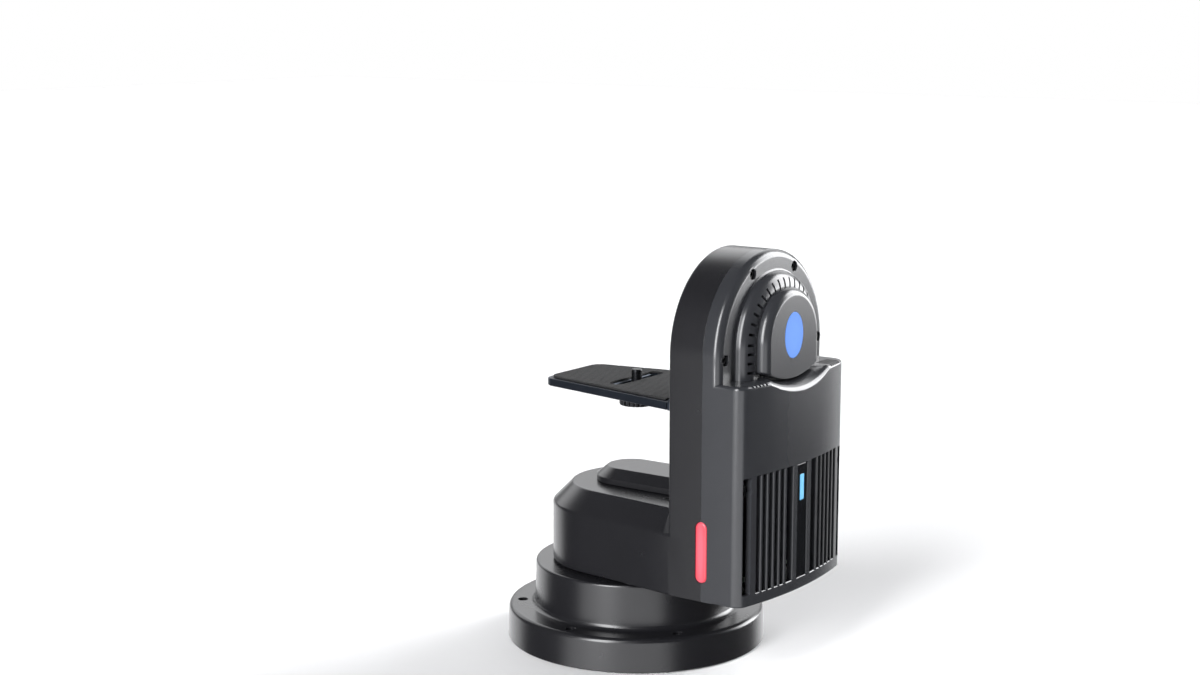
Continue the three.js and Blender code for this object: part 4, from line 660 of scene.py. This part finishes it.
def drill(obj, place, *, hole, span, bore, seat, face, end, lip, axis="Z", steps=(48, 48)):
    """A through hole, a counterbore from its seat to the face, and a chamfer round its rim."""
    cut(obj,
        rod("hole", hole, *span, place, axis, steps[0]),
        rod("counterbore", bore, seat, face + OVERLAP, place, axis, steps[1], lip),
        rod("flare", bore + lip, face, end, place, axis, steps[1]))


def make_base():
    cove, drum_round = 3.0, 1.4
    outline = soften([(0, 0), (FLANGE_RADIUS, 0), (FLANGE_TOP_RADIUS, FLANGE_HEIGHT),
                      (DRUM_RADIUS + cove, FLANGE_HEIGHT)], (0.5, 2.7))[:-1]
    outline += arc(DRUM_RADIUS + cove, FLANGE_HEIGHT + cove, cove, 270, 180, ROUND_STEPS)
    outline += arc(DRUM_TOP_RADIUS - drum_round, DRUM_TOP - drum_round, drum_round, 0, 90, ROUND_STEPS)
    outline += [(0, DRUM_TOP)]
    base = turned("base_casting", outline, BASE_STEPS)
    cut(base,
        rod("hollow", BASE_INNER_RADIUS, -2, BASE_CEILING, segments=96),
        rod("recess", PLATE_RECESS_RADIUS, -2, PLATE_TOP, segments=BASE_STEPS),
        rod("opening", NECK_RADIUS, 30, 60, segments=64),
        box("window", PANEL_LOW, PANEL_HIGH))
    for x, y in (polar(MOUNT_CIRCLE, a) for a in MOUNT_ANGLES):
        drill(base, (x, y, 0), hole=2.1, span=(-2, 30), bore=2.8, seat=MOUNT_SEAT_Z, face=FLANGE_HEIGHT,
              end=25, lip=0.3)
    return finish_mesh(base)


# Turret and inner half of the arm: one casting
def turret_plan(inset):
    radius, half = TURRET_RADIUS - inset, ARM_HALF - inset
    reach = math.hypot(ARM_INNER_X, half)
    tangent = math.degrees(math.atan2(half, ARM_INNER_X) + math.acos(radius / reach))
    end = 76 - inset
    return arc(0, 0, radius, tangent, 360 - tangent, 88) + [
        (ARM_INNER_X, -half), (end, -half), (end, half), (ARM_INNER_X, half)]


def arm_arch(inset):
    return arch(ARM_HALF - inset, TURRET_BOTTOM + inset, TILT_Z)


def make_yoke():
    foot, shoulder, ceiling = 0.6, TURRET_TOP - TURRET_WALL_TOP, TURRET_TOP - WALL
    path = soften([(foot, TURRET_BOTTOM), (0, TURRET_BOTTOM + foot), (0, TURRET_WALL_TOP),
                   (shoulder, TURRET_TOP), (20, TURRET_TOP)], (0.4, 3.0, 1.6))[:-1]
    turret = prism_z("yoke_casting_skin", turret_plan, path)
    join(turret, prism_x("arm", arm_arch, edge_levels(ARM_INNER_X, PARTING_X, 1.8, 0.12)))
    cut(turret,
        prism_z("turret_hollow", turret_plan, [(WALL, HOLLOW_Z), (WALL, 78.2), (13.0, ceiling)]),
        prism_x("arm_hollow", lambda inset: arm_arch(WALL), [(0, ARM_INNER_X + WALL), (0, 84)]),
        rod("opening", TURRET_RADIUS - WALL, 44, 50, segments=96),
        rod("harness", 8.0, 84, 94))
    tilt_axis, boss_x = (0, 0, TILT_Z), 60.3
    boss_radius, bearing_bore, shaft_way = 18.6, 14.6, 10.0
    join(turret, rod("boss", boss_radius, boss_x, 69.0, tilt_axis, "X", 64), gusset(-1), gusset(1))
    cut(turret,
        rod("bore", bearing_bore, boss_x, 72.0, tilt_axis, "X", 64),
        rod("shaft_way", shaft_way, 50, 66, tilt_axis, "X", 64),
        tally_cutter())
    for x, y in TURRET_SCREWS:
        drill(turret, (x, y, 0), hole=1.8, span=(80, 95), bore=2.9, seat=TURRET_SEAT_Z, face=TURRET_TOP,
              end=95, lip=0.25)
    # The turret's wall bends into the arm's side by a few degrees: the splits keep that blend short and even
    x_axis, z_axis = (1, 0, 0), (0, 0, 1)
    return finish_mesh(turret, planes=[((72, 0, 0), x_axis), ((44, 0, 0), x_axis), ((0, 0, 78.7), z_axis)])


def gusset(side):
    """A small web between the flared wall's shoulder and the arm."""
    low, high = sorted((side * 53.6, side * 47.0))
    foot_x, head_x, far_x = ARM_INNER_X - 3.6, ARM_INNER_X - 0.4, ARM_INNER_X + 2
    outline = [(foot_x, 79.0), (far_x, 79.0), (far_x, 90.0), (head_x, 90.0)]
    return prism_y("gusset", lambda inset: outline, [(0, low), (0, high)])


def tally_outline(gap, steps=8):
    return slot_outline(PARTING_X, TALLY_Z, 3.7 - gap, 17.0 - gap, steps)


def tally_cutter():
    return prism_y("tally_way", lambda inset: tally_outline(0), [(0, -58), (0, -49)])


def make_cap():
    def plan(inset):
        half = 20.5 - inset
        return arc(-3, 0, half, 90, 270, 48) + [(70, -half), (70, half)]

    low, rim, shoulder, top, wall = 91.8, 92.1, 95.0, 100.3, 2.4
    path = soften([(0.3, low), (0, rim), (0, shoulder), (6.4, top), (14, top)], (0.2, 0.7, 1.6))[:-1]
    cap = prism_z("turret_cap_skin", plan, path)
    cut(cap, box("end", (58.5, -40, 80), (90, 40, 120)),
        prism_z("hollow", plan, [(wall, 91), (wall, 94.2), (9.0, 97.9)]))
    return finish_mesh(cap)


# Cover of the arm
def crown_x(y, inset=0.0):
    return CROWN_CENTRE_X + math.sqrt((CROWN_RADIUS - inset) ** 2 - y * y)


# Screws of the cover: Y, Z, the seat's X and the face's X
POCKET_X = crown_x(51.2) - 2.7
COVER_SCREWS = [(y, TILT_Z + z, 88.0, ANNULUS_X) for y, z in (polar(48.2, a) for a in (0, 63.4, 116.6, 180))]
POCKET_SCREWS = [(y, 109.5, POCKET_X - 3.0, POCKET_X) for y in (-48.6, 48.6)]


def box_plan(inset, start_x=COVER_START_X):
    half = ARM_HALF - inset
    radius = CROWN_RADIUS - inset
    corner = CORNER_ROUND - inset
    side = math.degrees(math.asin((half - corner) / (radius - corner)))
    cx = CROWN_CENTRE_X + (radius - corner) * math.cos(math.radians(side))
    cy = half - corner
    return ([(start_x, half), (start_x, -half)]
            + arc(cx, -cy, corner, -90, -side, 10)
            + arc(CROWN_CENTRE_X, 0, radius, -side, side, 48)[1:-1]
            + arc(cx, cy, corner, side, 90, 10))


def dome_outline(inset):
    """The arch rolls over softly and the curved foot keeps a crisp edge."""
    half = DOME_HALF - inset
    radius = DOME_FOOT_RADIUS - inset * 0.3
    corner = 1.2
    side = math.degrees(math.asin((half - corner) / (radius - corner)))
    cx = (radius - corner) * math.sin(math.radians(side))
    cz = DOME_FOOT_Z - (radius - corner) * math.cos(math.radians(side))
    return (arc(0, DOME_Z, half, 0, 180, ARCH_STEPS)
            + arc(-cx, cz, corner, 180, 270 - side, 6)
            + arc(0, DOME_FOOT_Z, radius, 270 - side, 270 + side, 32)[1:-1]
            + arc(cx, cz, corner, 270 + side, 360, 6))


def oval_outline(half_y, half_z):
    turn = [2 * math.pi * i / OVAL_STEPS for i in range(OVAL_STEPS)]
    return [(half_y * math.cos(a), WINDOW_Z + half_z * math.sin(a)) for a in turn]


def scallop_cutter(margin=0.0, rounding=3.2):
    """The scallop in the ledge: from the dome's foot out to a flatter arc, whose rim rolls over."""
    rings = []
    steps = 64
    start_angle, sweep = 200, 140
    core, land, overrun = 20, 4, 6
    low_x = SCALLOP_X - margin
    foot_radius = DOME_FOOT_RADIUS + 0.1 + margin
    for i in range(steps + 1):
        a = math.radians(start_angle + sweep * i / steps)
        c, s = math.cos(a), math.sin(a)
        face = crown_x(min(abs((foot_radius + land) * c), 50), margin)
        rim = RIM_RISE * s + math.sqrt(RIM_RADIUS**2 - (RIM_RISE * c) ** 2) + margin
        path = [(foot_radius, low_x), (rim, face), (rim + land, face)]
        rolled = soften(path, (rounding,), 6) if rounding else path
        profile = [(core, low_x)] + rolled + [(rim + land, face + overrun), (core, face + overrun)]
        rings.append([(x, r * c, DOME_FOOT_Z + r * s) for r, x in profile])
    return loft("scallop", rings)


def make_cover():
    start_x = 78
    cover = prism_x("arm_cover_skin", arm_arch, edge_levels(COVER_START_X, ANNULUS_X, 0.12, ANNULUS_ROLL, 12))
    hood = prism_x("hood", lambda inset: arch(HOOD_HALF - inset, HOOD_LOW_Z, HOOD_Z),
                   bullnose(COVER_START_X, HOOD_X, HOOD_ROLL, HOOD_X - HOOD_FOOT_X))
    cove = [(1.2, 88.0), (1.2, ANNULUS_X), (0.55, 91.2), (0.15, 91.6), (0.0, HOOD_FOOT_X)]
    foot = prism_x("hood_foot", lambda inset: arch(HOOD_HALF + inset, HOOD_LOW_Z, HOOD_Z), cove)
    dome = prism_x("dome", dome_outline, bullnose(COVER_START_X, DOME_X, DOME_ROLL, DOME_ROLL_DEPTH))
    lower = prism_z("lower", box_plan, edge_levels(TURRET_BOTTOM, LEDGE_Z, 0.8, 2.0, 8))
    cut(lower, scallop_cutter())
    join(cover, hood, foot, lower, dome)
    hollows = ((ARM_HALF, HOLLOW_Z, TILT_Z, ANNULUS_X - COVER_WALL),
               (HOOD_HALF, HOLLOW_Z, HOOD_Z, HOOD_INNER_X),
               (DOME_HALF, 167.4, DOME_Z, DOME_X - COVER_WALL))
    cut(cover, *(prism_x("hollow", lambda inset: arch(half - COVER_WALL, low, centre),
                         [(0, start_x), (0, end_x)])
                 for half, low, centre, end_x in hollows))
    inner = prism_z("inner", lambda inset: box_plan(COVER_WALL, start_x),
                    [(0, HOLLOW_Z), (0, LEDGE_Z - COVER_WALL)])
    cut(inner, scallop_cutter(COVER_WALL, 0.0))
    cut(cover, inner)
    vents(cover)
    louvres(cover)
    screws = COVER_SCREWS + POCKET_SCREWS
    for y, z, seat, face in screws:
        join(cover, rod("boss", 4.0, COVER_START_X, face - 0.3, (0, y, z), "X", 32))
    for y, z, seat, face in screws:
        drill(cover, (0, y, z), hole=1.8, span=(70, 110), bore=2.9, seat=seat, face=face, end=face + 12,
              lip=0.3, axis="X", steps=(24, 40))
    cut(cover, prism_x("oval", lambda inset: oval_outline(9.6, 12.8), [(0, DOME_X - 1.6), (0, 112)]),
        tally_cutter())
    return finish_mesh(cover, angle=28)


def vents(cover):
    """Vent slots round the hood and the notches in the ledge."""
    near_x, far_x = VENT_X
    inner_y, outer_y = VENT_Y
    slots = [row(box("vent", (near_x, inner_y, HOOD_Z - VENT_HALF), (far_x, outer_y, HOOD_Z + VENT_HALF)),
                 VENT_COUNT, (0, 0, 0), turn=(VENT_TURN, 0, 0), first=(VENT_FIRST_TURN, 0, 0),
                 pivot=(0, 0, HOOD_Z))]
    for low_y, high_y in (VENT_Y, (-outer_y, -inner_y)):
        slot = box("vent", (near_x, low_y, SIDE_VENT_Z[0]), (far_x, high_y, SIDE_VENT_Z[1]))
        slots.append(row(slot, SIDE_VENT_COUNT, (0, 0, -SIDE_VENT_STEP)))
    cut(cover, *slots)
    for side in (-1, 1):
        low_y, high_y = sorted(side * y for y in NOTCH_Y)
        for start_x, end_x, drop in NOTCH_CUTS:
            notch = box("notch", (start_x, low_y, LEDGE_Z - drop), (end_x, high_y, LEDGE_Z + 2))
            cut(cover, row(notch, NOTCH_COUNT, (0, side * NOTCH_STEP, 0)))


def crown_cutter(name, low, high, depth, lip=0.4, radius=0.5):
    """A cutter for a window between two Y places whose lip follows the crowned face."""
    def plan(inset):
        return rounded_box(low + inset, LOUVRE_LOW + inset, high - inset, LOUVRE_HIGH - inset, radius, 3)

    levels = [(0, -depth), (0, -lip), (-lip, 0), (-lip - 0.1, 2.0)]
    return loft(name, [[(crown_x(u) + level, u, v) for u, v in plan(inset)] for inset, level in levels])


def louvres(cover):
    """Louvre slots, the two pockets beside them and the recess of the label strip."""
    for side in (-1, 1):
        for middle, half in LOUVRE_SPANS:
            low, high = sorted((side * (middle - half), side * (middle + half)))
            cut(cover, crown_cutter("louvre", low, high, LOUVRE_DEPTH))
        low, high = sorted((side * POCKET_LOW, side * POCKET_HIGH))
        cut(cover, prism_x("pocket", lambda inset: rounded_box(low, LOUVRE_LOW, high, LOUVRE_HIGH, 0.8),
                           [(0, POCKET_X), (0, 113)]))
    cut(cover, crown_cutter("strip_recess", -STRIP_HALF, STRIP_HALF, STRIP_DEPTH, 0.25, 0.8))


# Tray, bracket and camera screw
def tray_plan(inset):
    """The tray's outline tapers to its tip, where the corners are round."""
    slope = (TRAY_ROOT_HALF - TRAY_TIP_HALF) / (BRACKET_X[0] - TRAY_TIP_X)
    angle = math.degrees(math.atan(slope))
    secant = 1 / math.cos(math.atan(slope))
    root_x, corner_x = TRAY_ROOT_X - inset, TRAY_TIP_X + inset + TRAY_CORNER
    tip_half = TRAY_TIP_HALF + slope * inset - inset * secant
    root_half = TRAY_ROOT_HALF - slope * (BRACKET_X[0] - root_x) - inset * secant
    corner_half = tip_half + slope * TRAY_CORNER - TRAY_CORNER * secant
    return ([(root_x, -root_half), (root_x, root_half)]
            + arc(corner_x, corner_half, TRAY_CORNER, 90 + angle, 180, 12)
            + arc(corner_x, -corner_half, TRAY_CORNER, 180, 270 - angle, 12))


def make_tray():
    def slot(gap):
        return slot_outline(0, 0, SLOT_HALF_X + gap, SLOT_HALF_Y + gap, 12)

    tray = prism_z("camera_tray_plate", tray_plan, edge_levels(TRAY_LOW, TRAY_TOP, 0.7, 0.7, 4))
    cut(tray, prism_z("slot", lambda inset: slot(-inset),
                      [(0, 140), (0, TRAY_TOP - 0.5), (-0.5, TRAY_TOP), (-0.5, 160)]))
    finish_mesh(tray)

    pad = prism_z("tray_pad_sheet", lambda inset: tray_plan(PAD_MARGIN + inset),
                  edge_levels(PAD_LOW, PAD_LOW + 1.0, 0, 0.3, 3))
    cut(pad, prism_z("slot", lambda inset: slot(1.25), [(0, 140), (0, 160)]))
    groove = box("groove", (-60, -41.2, PAD_LOW + 0.6), (60, -40.4, 156))
    cut(pad, row(groove, 28, (0, 3.0, 0)))
    finish_mesh(pad)
    return tray, pad


HUB_SCREWS = [(y, TILT_Z + z) for y, z in (polar(14.0, a) for a in (45, 135, 225, 315))]
TRAY_SCREWS = [(y, TILT_Z - 30.25) for y in (-27, 0, 27)]
HUB_SEAT_X = 51.0
TRAY_SEAT_X = 53.4


def make_bracket():
    spread = math.degrees(math.atan2(TRAY_ROOT_HALF - BRACKET_RADIUS, TILT_Z - TRAY_LOW))

    def plan(inset):
        half, low = TRAY_ROOT_HALF - inset, TRAY_LOW + inset
        return (arc(0, TILT_Z, BRACKET_RADIUS - inset, -spread, 180 + spread, 64)
                + [(-half, TRAY_TOP), (-half, low), (half, low), (half, TRAY_TOP)])

    bracket = prism_x("bracket_side_plate", plan, edge_levels(*BRACKET_X, 0.6, 0.6, 4))
    cut(bracket, rod("spigot_way", 8.3, 40, 60, (0, 0, TILT_Z), "X", 64))
    for y, z in HUB_SCREWS:
        cut(bracket, rod("seat", 2.8, 49, HUB_SEAT_X, (0, y, z), "X", 40))
    for y, z in TRAY_SCREWS:
        cut(bracket, rod("seat", 2.05, TRAY_SEAT_X, 56, (0, y, z), "X", 32))
    return finish_mesh(bracket)


def make_knob():
    disc = [(0, KNOB_LOW), (KNOB_RADIUS, KNOB_LOW), (KNOB_RADIUS, KNOB_TOP), (0, KNOB_TOP)]
    knob = turned("camera_screw_knob", soften(disc, (0.8, 0.8), 4), 96)
    flute = rod("flute", 1.2, 134, 146, (10.35, 0, 0), segments=16)
    row(flute, 24, (0, 0, 0), turn=(0, 0, 15))
    root = KNOB_TOP - 0.3
    bar = [(0, root), (THREAD_RADIUS, root), (THREAD_RADIUS, THREAD_TOP), (0, THREAD_TOP)]
    shank = turned("shank", soften(bar, (0, 0.6), 3), 48)
    thread = turned("thread", [(3.6, 0.0), (3.6, 0.5), (2.85, 0.25)], 48, (0, 0, 150.6))
    row(thread, 7, (0, 0, 0.85))
    cut(knob, flute)
    join(knob, shank)
    cut(knob, thread)
    return finish_mesh(knob)


# Sockets of the connector panel
def box_of(name):
    """The corners of a frame solid's box, in millimetres."""
    return [Vector(corner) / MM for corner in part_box(name)]


def socket_mouth(low, high, inset=0.0):
    """The mouth of a network socket as (x, z) points: a box with the two steps of the latch below."""
    middle, top = (low.x + high.x) / 2, high.z - 1.0 - inset
    points = []
    for half, drop in ((5.9, 6.4), (3.1, 7.9), (1.6, 9.2)):
        upper = points[-1][1] if points else top
        points += [(half - inset, upper), (half - inset, top + 2 * inset - drop)]
    return [(middle + u, v) for u, v in points] + [(middle - u, v) for u, v in points[::-1]]


def make_network_socket(name):
    """A plated shell with a rolled lip, a black insert inside and eight contact springs."""
    low, high = box_of(name)

    def mouth(piece, levels):
        return prism_y(piece, lambda inset: socket_mouth(low, high, inset),
                       [(inset, high.y + level) for inset, level in levels])

    shell = prism_y(name + "_shell", lambda inset: rounded_box(low.x + inset, low.z + inset, high.x - inset,
                                                              high.z - inset, 0.6, 3),
                    edge_levels(low.y, high.y, 0.2, 0.5, 3))
    cut(shell, mouth("mouth", ((0, -12), (0, -0.4), (-0.35, 0.02), (-0.35, 1))))
    finish_mesh(shell)
    insert = mouth(name + "_insert", ((0.02, -11.9), (0.02, -1.2)))
    cut(insert, mouth("mouth", ((0.5, -9.5), (0.5, 1))))
    finish_mesh(insert)
    root_y, tip_y, top = high.y - 9.6, high.y - 3.2, high.z - 1.6
    blade = [(root_y, top - 3.4), (tip_y, top), (tip_y, top + 0.25), (root_y, top - 3.1)]
    first_x = (low.x + high.x) / 2 - 3.8
    contacts = prism_x(name + "_contacts", lambda inset: blade, [(0, first_x), (0, first_x + 0.45)])
    row(contacts, 8, (1.02, 0, 0))
    finish_mesh(contacts)
    return shell, insert, contacts


def make_power_trim():
    """The plated sleeve round the power socket's bore, and its pin."""
    low, high = box_of("power_socket")
    place = ((low.x + high.x) / 2, 0, (low.z + high.z) / 2)
    face, root = high.y, high.y - 8.8
    wall = [(2.75, root), (2.75, face), (3.15, face), (3.15, root)]
    sleeve = turned("power_socket_sleeve", soften(wall, (0.15, 0.15), 2), 40, place, "Y")
    tip, root = high.y - 0.8, high.y - 8.9
    pin = soften([(0, root), (1.0, root), (1.0, tip), (0, tip)], (0, 0.5), 3)
    join(sleeve, turned("power_socket_pin", pin, 32, place, "Y"))
    return finish_mesh(sleeve)


# Build and dress the pieces
dress(make_base(), powder_coat, "base", "base_housing", slot="cast_paint")
dress(make_yoke(), powder_coat, "yoke", "turret_housing", "arm_housing", slot="cast_paint")
dress(make_cap(), smooth_abs, "yoke", "turret_cap", slot="moulded_plastic")
dress(make_cover(), moulded_abs, "yoke", "arm_cover", slot="moulded_plastic")
tray, pad = make_tray()
dress(tray, anodised, "tilt_cradle", "camera_tray", slot="dark_anodised")
dress(pad, rubber, "tilt_cradle", "tray_pad", slot="black_rubber")
dress(make_bracket(), anodised, "tilt_cradle", "bracket_plate", slot="dark_anodised")
dress(make_knob(), black_oxide, "camera_screw", "camera_screw", slot="black_steel")

cap_screws("flange_cap_screws", [(*polar(MOUNT_CIRCLE, a), MOUNT_SEAT_Z + 0.5) for a in SCREWED_ANGLES],
           "base", *(f"flange_screw_{i}" for i in (1, 2, 3, 4)), head_radius=2.55, head_height=2.4,
           socket_depth=1.5, shank_radius=1.6, shank_length=12.0)
cap_screws("turret_cap_screws", [(x, y, TURRET_SEAT_Z + HEAD_GAP) for x, y in TURRET_SCREWS], "yoke",
           "turret_screw_1", "turret_screw_2", shank_length=4.2)
cap_screws("cover_cap_screws", [(seat + HEAD_GAP, y, z) for y, z, seat, face in COVER_SCREWS], "yoke",
           *(f"cover_screw_{i}" for i in (1, 2, 3, 4)), turn=(0, 90, 0), head_height=1.3, rim=0.25,
           socket_depth=0.9, shank_length=14.0)
cap_screws("pocket_cap_screws", [(seat + HEAD_GAP, y, z) for y, z, seat, face in POCKET_SCREWS], "yoke",
           "cover_screw_5", "cover_screw_6", turn=(0, 90, 0), shank_length=26.0)


def dress_lens(obj, material, node, slot):
    dress(finish_mesh(obj, angle=40), material, "yoke", node, slot=slot)


lens = prism_y("tally_light_bar", lambda inset: tally_outline(0.25 + inset, 10),
               [(0.9, -54.6), (0.45, -54.5), (0.12, -54.2), (0, -53.7), (0, -49.5)])
dress_lens(lens, red_lens, "tally_lens", "red_lens")
oval = prism_x("status_window_lens", lambda inset: oval_outline(9.4 - inset, 12.6 - inset),
               edge_levels(103.0, 104.45, 0, 0.3, 3))
dress_lens(oval, blue_window, "status_window", "blue_window")

low, high = box_of("label_strip")
strip = prism_x("label_strip_film",
                lambda inset: rounded_box(low.y + inset, low.z + inset, high.y - inset, high.z - inset,
                                          0.7, 4),
                edge_levels(low.x, high.x, 0, 0.35, 4))
dress_lens(strip, label_film, "label_strip", "black_plastic")

tag_top = box_of("label_tag")[1]
tag = prism_x("plain_label_tag",
              lambda inset: rounded_box(-2.05 + inset, tag_top.z - 15.2 + inset, 2.05 - inset,
                                        tag_top.z - 0.8 - inset, 0.4, 3),
              edge_levels(high.x + 0.02, tag_top.x, 0, 0.06, 2))
dress_lens(tag, film, "label_tag", "blue_tag")

for name in ("network_socket_left", "network_socket_right"):
    shell, insert, contacts = make_network_socket(name)
    dress(shell, plated, "base", name, slot="bare_aluminium")
    dress(insert, black_abs, "base", slot="black_plastic")
    dress(contacts, gold, "base")
dress(make_power_trim(), plated, "base", slot="bare_aluminium")
cap_screws("hub_cap_screws", [(HUB_SEAT_X + 0.03, y, z) for y, z in HUB_SCREWS], "tilt_cradle",
           turn=(0, -90, 0), head_height=0.7, rim=0.2, socket_radius=1.3, socket_depth=0.5)
cap_screws("tray_cap_screws", [(TRAY_SEAT_X - 0.03, y, z) for y, z in TRAY_SCREWS], "tilt_cradle",
           turn=(0, 90, 0), head_radius=1.9, head_height=0.7, rim=0.2, socket_radius=1.0, socket_depth=0.5,
           shank_radius=1.2)

# The frame's own solids that stay get their finishes
FINISHES = (
    (milled, ("pan_post", "turret_plate", "pan_motor_bracket", "drive_plate")),
    (ground_steel, ("pan_bearing_inner_ring", "pan_bearing_outer_ring", "pan_clamp_ring", "pan_motor_shaft",
                    "tilt_bearing_inner_ring_near", "tilt_bearing_inner_ring_far",
                    "tilt_bearing_outer_ring_near", "tilt_bearing_outer_ring_far", "tilt_motor_shaft",
                    "tilt_shaft", "screw_washer")),
    (brass, ("pan_gear", "pan_pinion", "tilt_gear", "tilt_pinion")),
    (anodised, ("bottom_plate", "heat_sink")),
    (black_oxide, ("pan_motor", "tilt_motor", "shaft_ring")),
    (black_abs, ("connector_panel", "power_socket")),
    (solder_mask, ("base_board", "tally_board", "status_board", "main_board")),
    (rubber, ("neck_seal",)),
)
for material, names in FINISHES:
    for name in names:
        nodes[name].data.materials.clear()
        nodes[name].data.materials.append(material)

# Studio: pale floor, soft light and the camera at the photograph's angle
paper = surface("Pale_studio_paper", ("#f0f0f0", "#f4f4f4"), 0.85, patch=400.0, rough_grain=8.0, grain=1.0,
                bump=0.05)
reach, floor_z = 6000, -0.5
corners = ((-reach, -reach), (reach, -reach), (reach, reach), (-reach, reach))
floor = new_piece("studio_floor", [(x, y, floor_z) for x, y in corners], [(0, 1, 2, 3)])
floor.data.materials.append(paper)
floor.visible_glossy = False
floor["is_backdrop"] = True

# Patches of soft light round the object: bearing and half width, lowest and highest elevation, edge
# softness, all in degrees, and strength
LIGHT_PATCHES = {
    "key box, front left": (-88, 11, -5, 46, 5, 20.0),
    "glow under the key": (-72, 48, -32, -4, 7, 2.35),
    "box, back right": (64, 16, -6.6, 40, 3, 13.0),
    "white sweep behind": (130, 52, -70, 2, 10, 1.6),
    "lit wall behind": (128, 46, 12.5, 44, 5, 2.1),
}
AMBIENT = 0.042


def studio_world():
    world = bpy.data.worlds.new("studio")
    world.use_nodes = True
    tree = world.node_tree
    tree.nodes.clear()
    direction = add(tree, "ShaderNodeTexCoord").outputs["Generated"]

    def window(value, middle, half, soft):
        """One inside a band of angles and zero outside, with a soft edge."""
        away = maths(tree, "ABSOLUTE", maths(tree, "SUBTRACT", value, math.radians(middle)))
        return add(tree, "ShaderNodeMapRange",
                   {"Value": away, "From Min": math.radians(half - soft),
                    "From Max": math.radians(half + soft), "To Min": 1.0, "To Max": 0.0},
                   interpolation_type="SMOOTHSTEP").outputs[0]

    total = AMBIENT
    for bearing, half, low, high, soft, strength in LIGHT_PATCHES.values():
        faced = add(tree, "ShaderNodeVectorRotate",
                    {"Vector": direction, "Angle": math.radians(-bearing)}, rotation_type="Z_AXIS")
        axes = add(tree, "ShaderNodeSeparateXYZ", {0: faced.outputs[0]})
        around = window(maths(tree, "ARCTAN2", axes.outputs[1], axes.outputs[0]), 0, half, soft)
        height = window(maths(tree, "ARCSINE", axes.outputs[2]), (low + high) / 2, (high - low) / 2, soft / 2)
        total = maths(tree, "MULTIPLY_ADD", maths(tree, "MULTIPLY", around, height), strength, total)
    light = add(tree, "ShaderNodeBackground", {"Color": (0.98, 0.985, 1.0, 1.0), "Strength": total})
    pale = add(tree, "ShaderNodeBackground", {"Color": (1.0, 1.0, 1.0, 1.0), "Strength": 1.0})
    seen = add(tree, "ShaderNodeLightPath")
    mix = add(tree, "ShaderNodeMixShader",
              {0: seen.outputs["Is Camera Ray"], 1: light.outputs[0], 2: pale.outputs[0]})
    add(tree, "ShaderNodeOutputWorld", {"Surface": mix.outputs[0]})
    return world


scene.world = studio_world()
scene.view_settings.view_transform = "Standard"

camera_data = bpy.data.cameras.new("camera")
camera_data.sensor_width = 36.0
camera_data.lens = 59.16
camera = bpy.data.objects.new("camera", camera_data)
camera.location = (0.64145, -0.91383, 0.36631)
camera.rotation_euler = (math.radians(80.288), 0, math.radians(36.154))
scene.collection.objects.link(camera)
scene.camera = camera

low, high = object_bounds()
